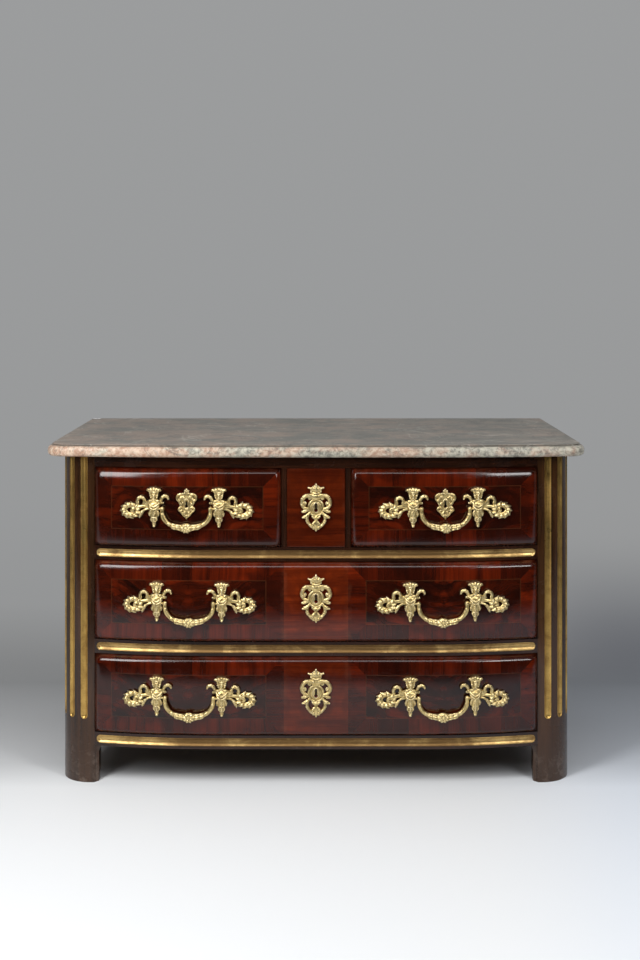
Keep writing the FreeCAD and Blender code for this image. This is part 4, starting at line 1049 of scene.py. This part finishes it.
# Studio: a white floor that runs up into a grey wall close behind, a tall soft box at the left, a
# smaller one at the right and a broad one above and in front, with the room beyond the camera left
# dark. The paper is toned like the photo's backdrop, with painted shade: the floor darkens towards
# the wall and under the chest, and the wall glows in its own painted tone.
wall_y, cove, half_wide = 0.8, 0.25, 7.0
cove_y = wall_y - cove
profile = [(-2.6, 0.0), (cove_y, 0.0)]
for a in np.linspace(0, math.pi / 2, 13)[1:]:
    profile.append((cove_y + cove * math.sin(a), cove - cove * math.cos(a)))
profile.append((wall_y, 5.0))
points = [(x, y, z) for y, z in profile for x in (-half_wide, half_wide)]
faces = [(2 * i, 2 * i + 1, 2 * i + 3, 2 * i + 2) for i in range(len(profile) - 1)]
sweep_mesh = mesh_of("studio_sweep", points, faces)
sweep_mesh.polygons.foreach_set("use_smooth", [True] * len(faces))
sweep = put("studio_sweep", sweep_mesh)
sweep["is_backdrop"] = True


def tones(tree, value, low, high, stops):
    """Greys at places between low and high, with even changes between them."""
    values = {"Value": value, "From Min": low, "From Max": high}
    share = node(tree, "MapRange", values).outputs[0]
    ramp = node(tree, "ValToRGB", {0: share})
    bar = ramp.color_ramp.elements
    for at, grey in stops:
        new = bar.new((at - low) / (high - low))
        new.color = (grey * 0.985, grey, grey * 1.01, 1)
    bar.remove(bar[0])
    bar.remove(bar[-1])
    return ramp.outputs[0]


paper, tree, shader, place = finish("studio_paper")
x, y, z = axes_of(tree, place)
# Painted shade: the floor's colour darkens from the front towards the wall.
floor_tone = tones(tree, y, -1.0, 1.0, [
    (-0.95, 0.84), (-0.6, 0.86), (-0.42, 0.86), (-0.29, 0.85), (-0.13, 0.62), (0.2, 0.51),
    (0.5, 0.42), (0.75, 0.28),
])
# A painted shadow darkens the floor under the chest.
under = times(tree, step(tree, y, -0.235, -0.175), step(tree, y, 0.4, 0.25))
under = times(tree, under, step(tree, calc(tree, "ABSOLUTE", x), 0.56, 0.5))
floor_tone = mixed(tree, times(tree, under, 0.5), floor_tone, (0.06, 0.06, 0.065))
# Painted shade: a cooler, darker tint towards the right.
cool_shade = step(tree, x, 0.3, 0.85)
floor_tone = mixed(tree, cool_shade, floor_tone, (0.93, 0.97, 1.04), "MULTIPLY")
fill(tree, shader, {"Base Color": floor_tone, "Roughness": 0.8, "Specular IOR Level": 0.2})
# The wall glows, though it is no lamp, in a painted tone that darkens towards its foot, with a
# painted shadow at its lower right.
wall_tone = tones(tree, z, 0.0, 2.5, [
    (0.02, 0.235), (0.18, 0.3), (0.5, 0.318), (1.2, 0.328), (2.4, 0.337)
])
shadow = times(tree, step(tree, x, 0.35, 1.0), step(tree, z, 0.42, 0.02))
wall_tone = mixed(tree, times(tree, shadow, 0.75), wall_tone, (0.105, 0.112, 0.13))
wall = node(tree, "Emission", {"Color": wall_tone, "Strength": 1.0}).outputs[0]
unlit = node(tree, "Emission", {"Color": (0, 0, 0, 1), "Strength": 0.0}).outputs[0]
clear = node(tree, "BsdfTransparent").outputs[0]
glossy = node(tree, "LightPath").outputs["Is Glossy Ray"]
behind = node(tree, "NewGeometry").outputs["Backfacing"]
far = step(tree, y, -1.15, -1.75)
surface = tree.nodes["Principled BSDF"].outputs[0]
for share, other in (
    (step(tree, y, 0.45, 0.78), wall),
    (times(tree, far, glossy), unlit),
    (behind, clear),
):
    surface = node(tree, "MixShader", {0: share, 1: surface, 2: other}).outputs[0]
tree.links.new(surface, tree.nodes["Material Output"].inputs[0])
sweep_mesh.materials.append(paper)

world = bpy.data.worlds.new("dark_room")
bpy.context.scene.world = world
world.use_nodes = True
tree = world.node_tree
_, ahead, above = axes_of(tree, node(tree, "TexCoord").outputs["Generated"])
seen = node(tree, "LightPath").outputs["Is Camera Ray"]
room = step(tree, ahead, -0.2, 0.6)
room = layered(
    tree, mixed(tree, room, (0.012, 0.012, 0.013), (0.245, 0.255, 0.285)),
    (step(tree, above, 0.25, 0.9), (0.15, 0.158, 0.178)),
    (seen, (0.335, 0.34, 0.345)),
)
tree.links.new(room, tree.nodes["Background"].inputs[0])


def soft_box(name, at, towards, wide, tall, power):
    lamp = bpy.data.lights.new(name, "AREA")
    lamp.shape = "RECTANGLE"
    lamp.size = wide
    lamp.size_y = tall
    lamp.energy = power
    made = put(name, lamp)
    made.location = at
    made.rotation_euler = (Vector(towards) - Vector(at)).to_track_quat("-Z", "Y").to_euler()


soft_box("left_soft_box", (-1.45, -2.0, 1.85), (-0.1, -0.2, 0.45), 0.75, 1.6, 50.0)
soft_box("right_soft_box", (1.38, -2.0, 1.66), (0.1, -0.2, 0.45), 0.62, 0.78, 20.0)
soft_box("overhead_soft_box", (0.0, -1.6, 2.8), (0.0, -0.3, 0.2), 2.4, 0.8, 27.0)

# Camera: level, on a tall stand straight in front, with the lens slid down so that the chest
# stands low in an upright picture.
lens = bpy.data.cameras.new("studio_camera")
lens.sensor_fit = "VERTICAL"
lens.sensor_height = 36.0
lens.lens = 50.0
lens.shift_y = -0.204
lens.clip_end = 60.0
camera = put("studio_camera", lens)
camera.location = (0.0096, -3.4914, 1.2075)
camera.rotation_euler = (math.pi / 2, 0.0, 0.0)
bpy.context.scene.camera = camera
bpy.context.scene.view_settings.view_transform = "Standard"

sizes = {name: [list(map(float, corner)) for corner in box] for name, box in (("cad", cad_box), ("visual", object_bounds()))}
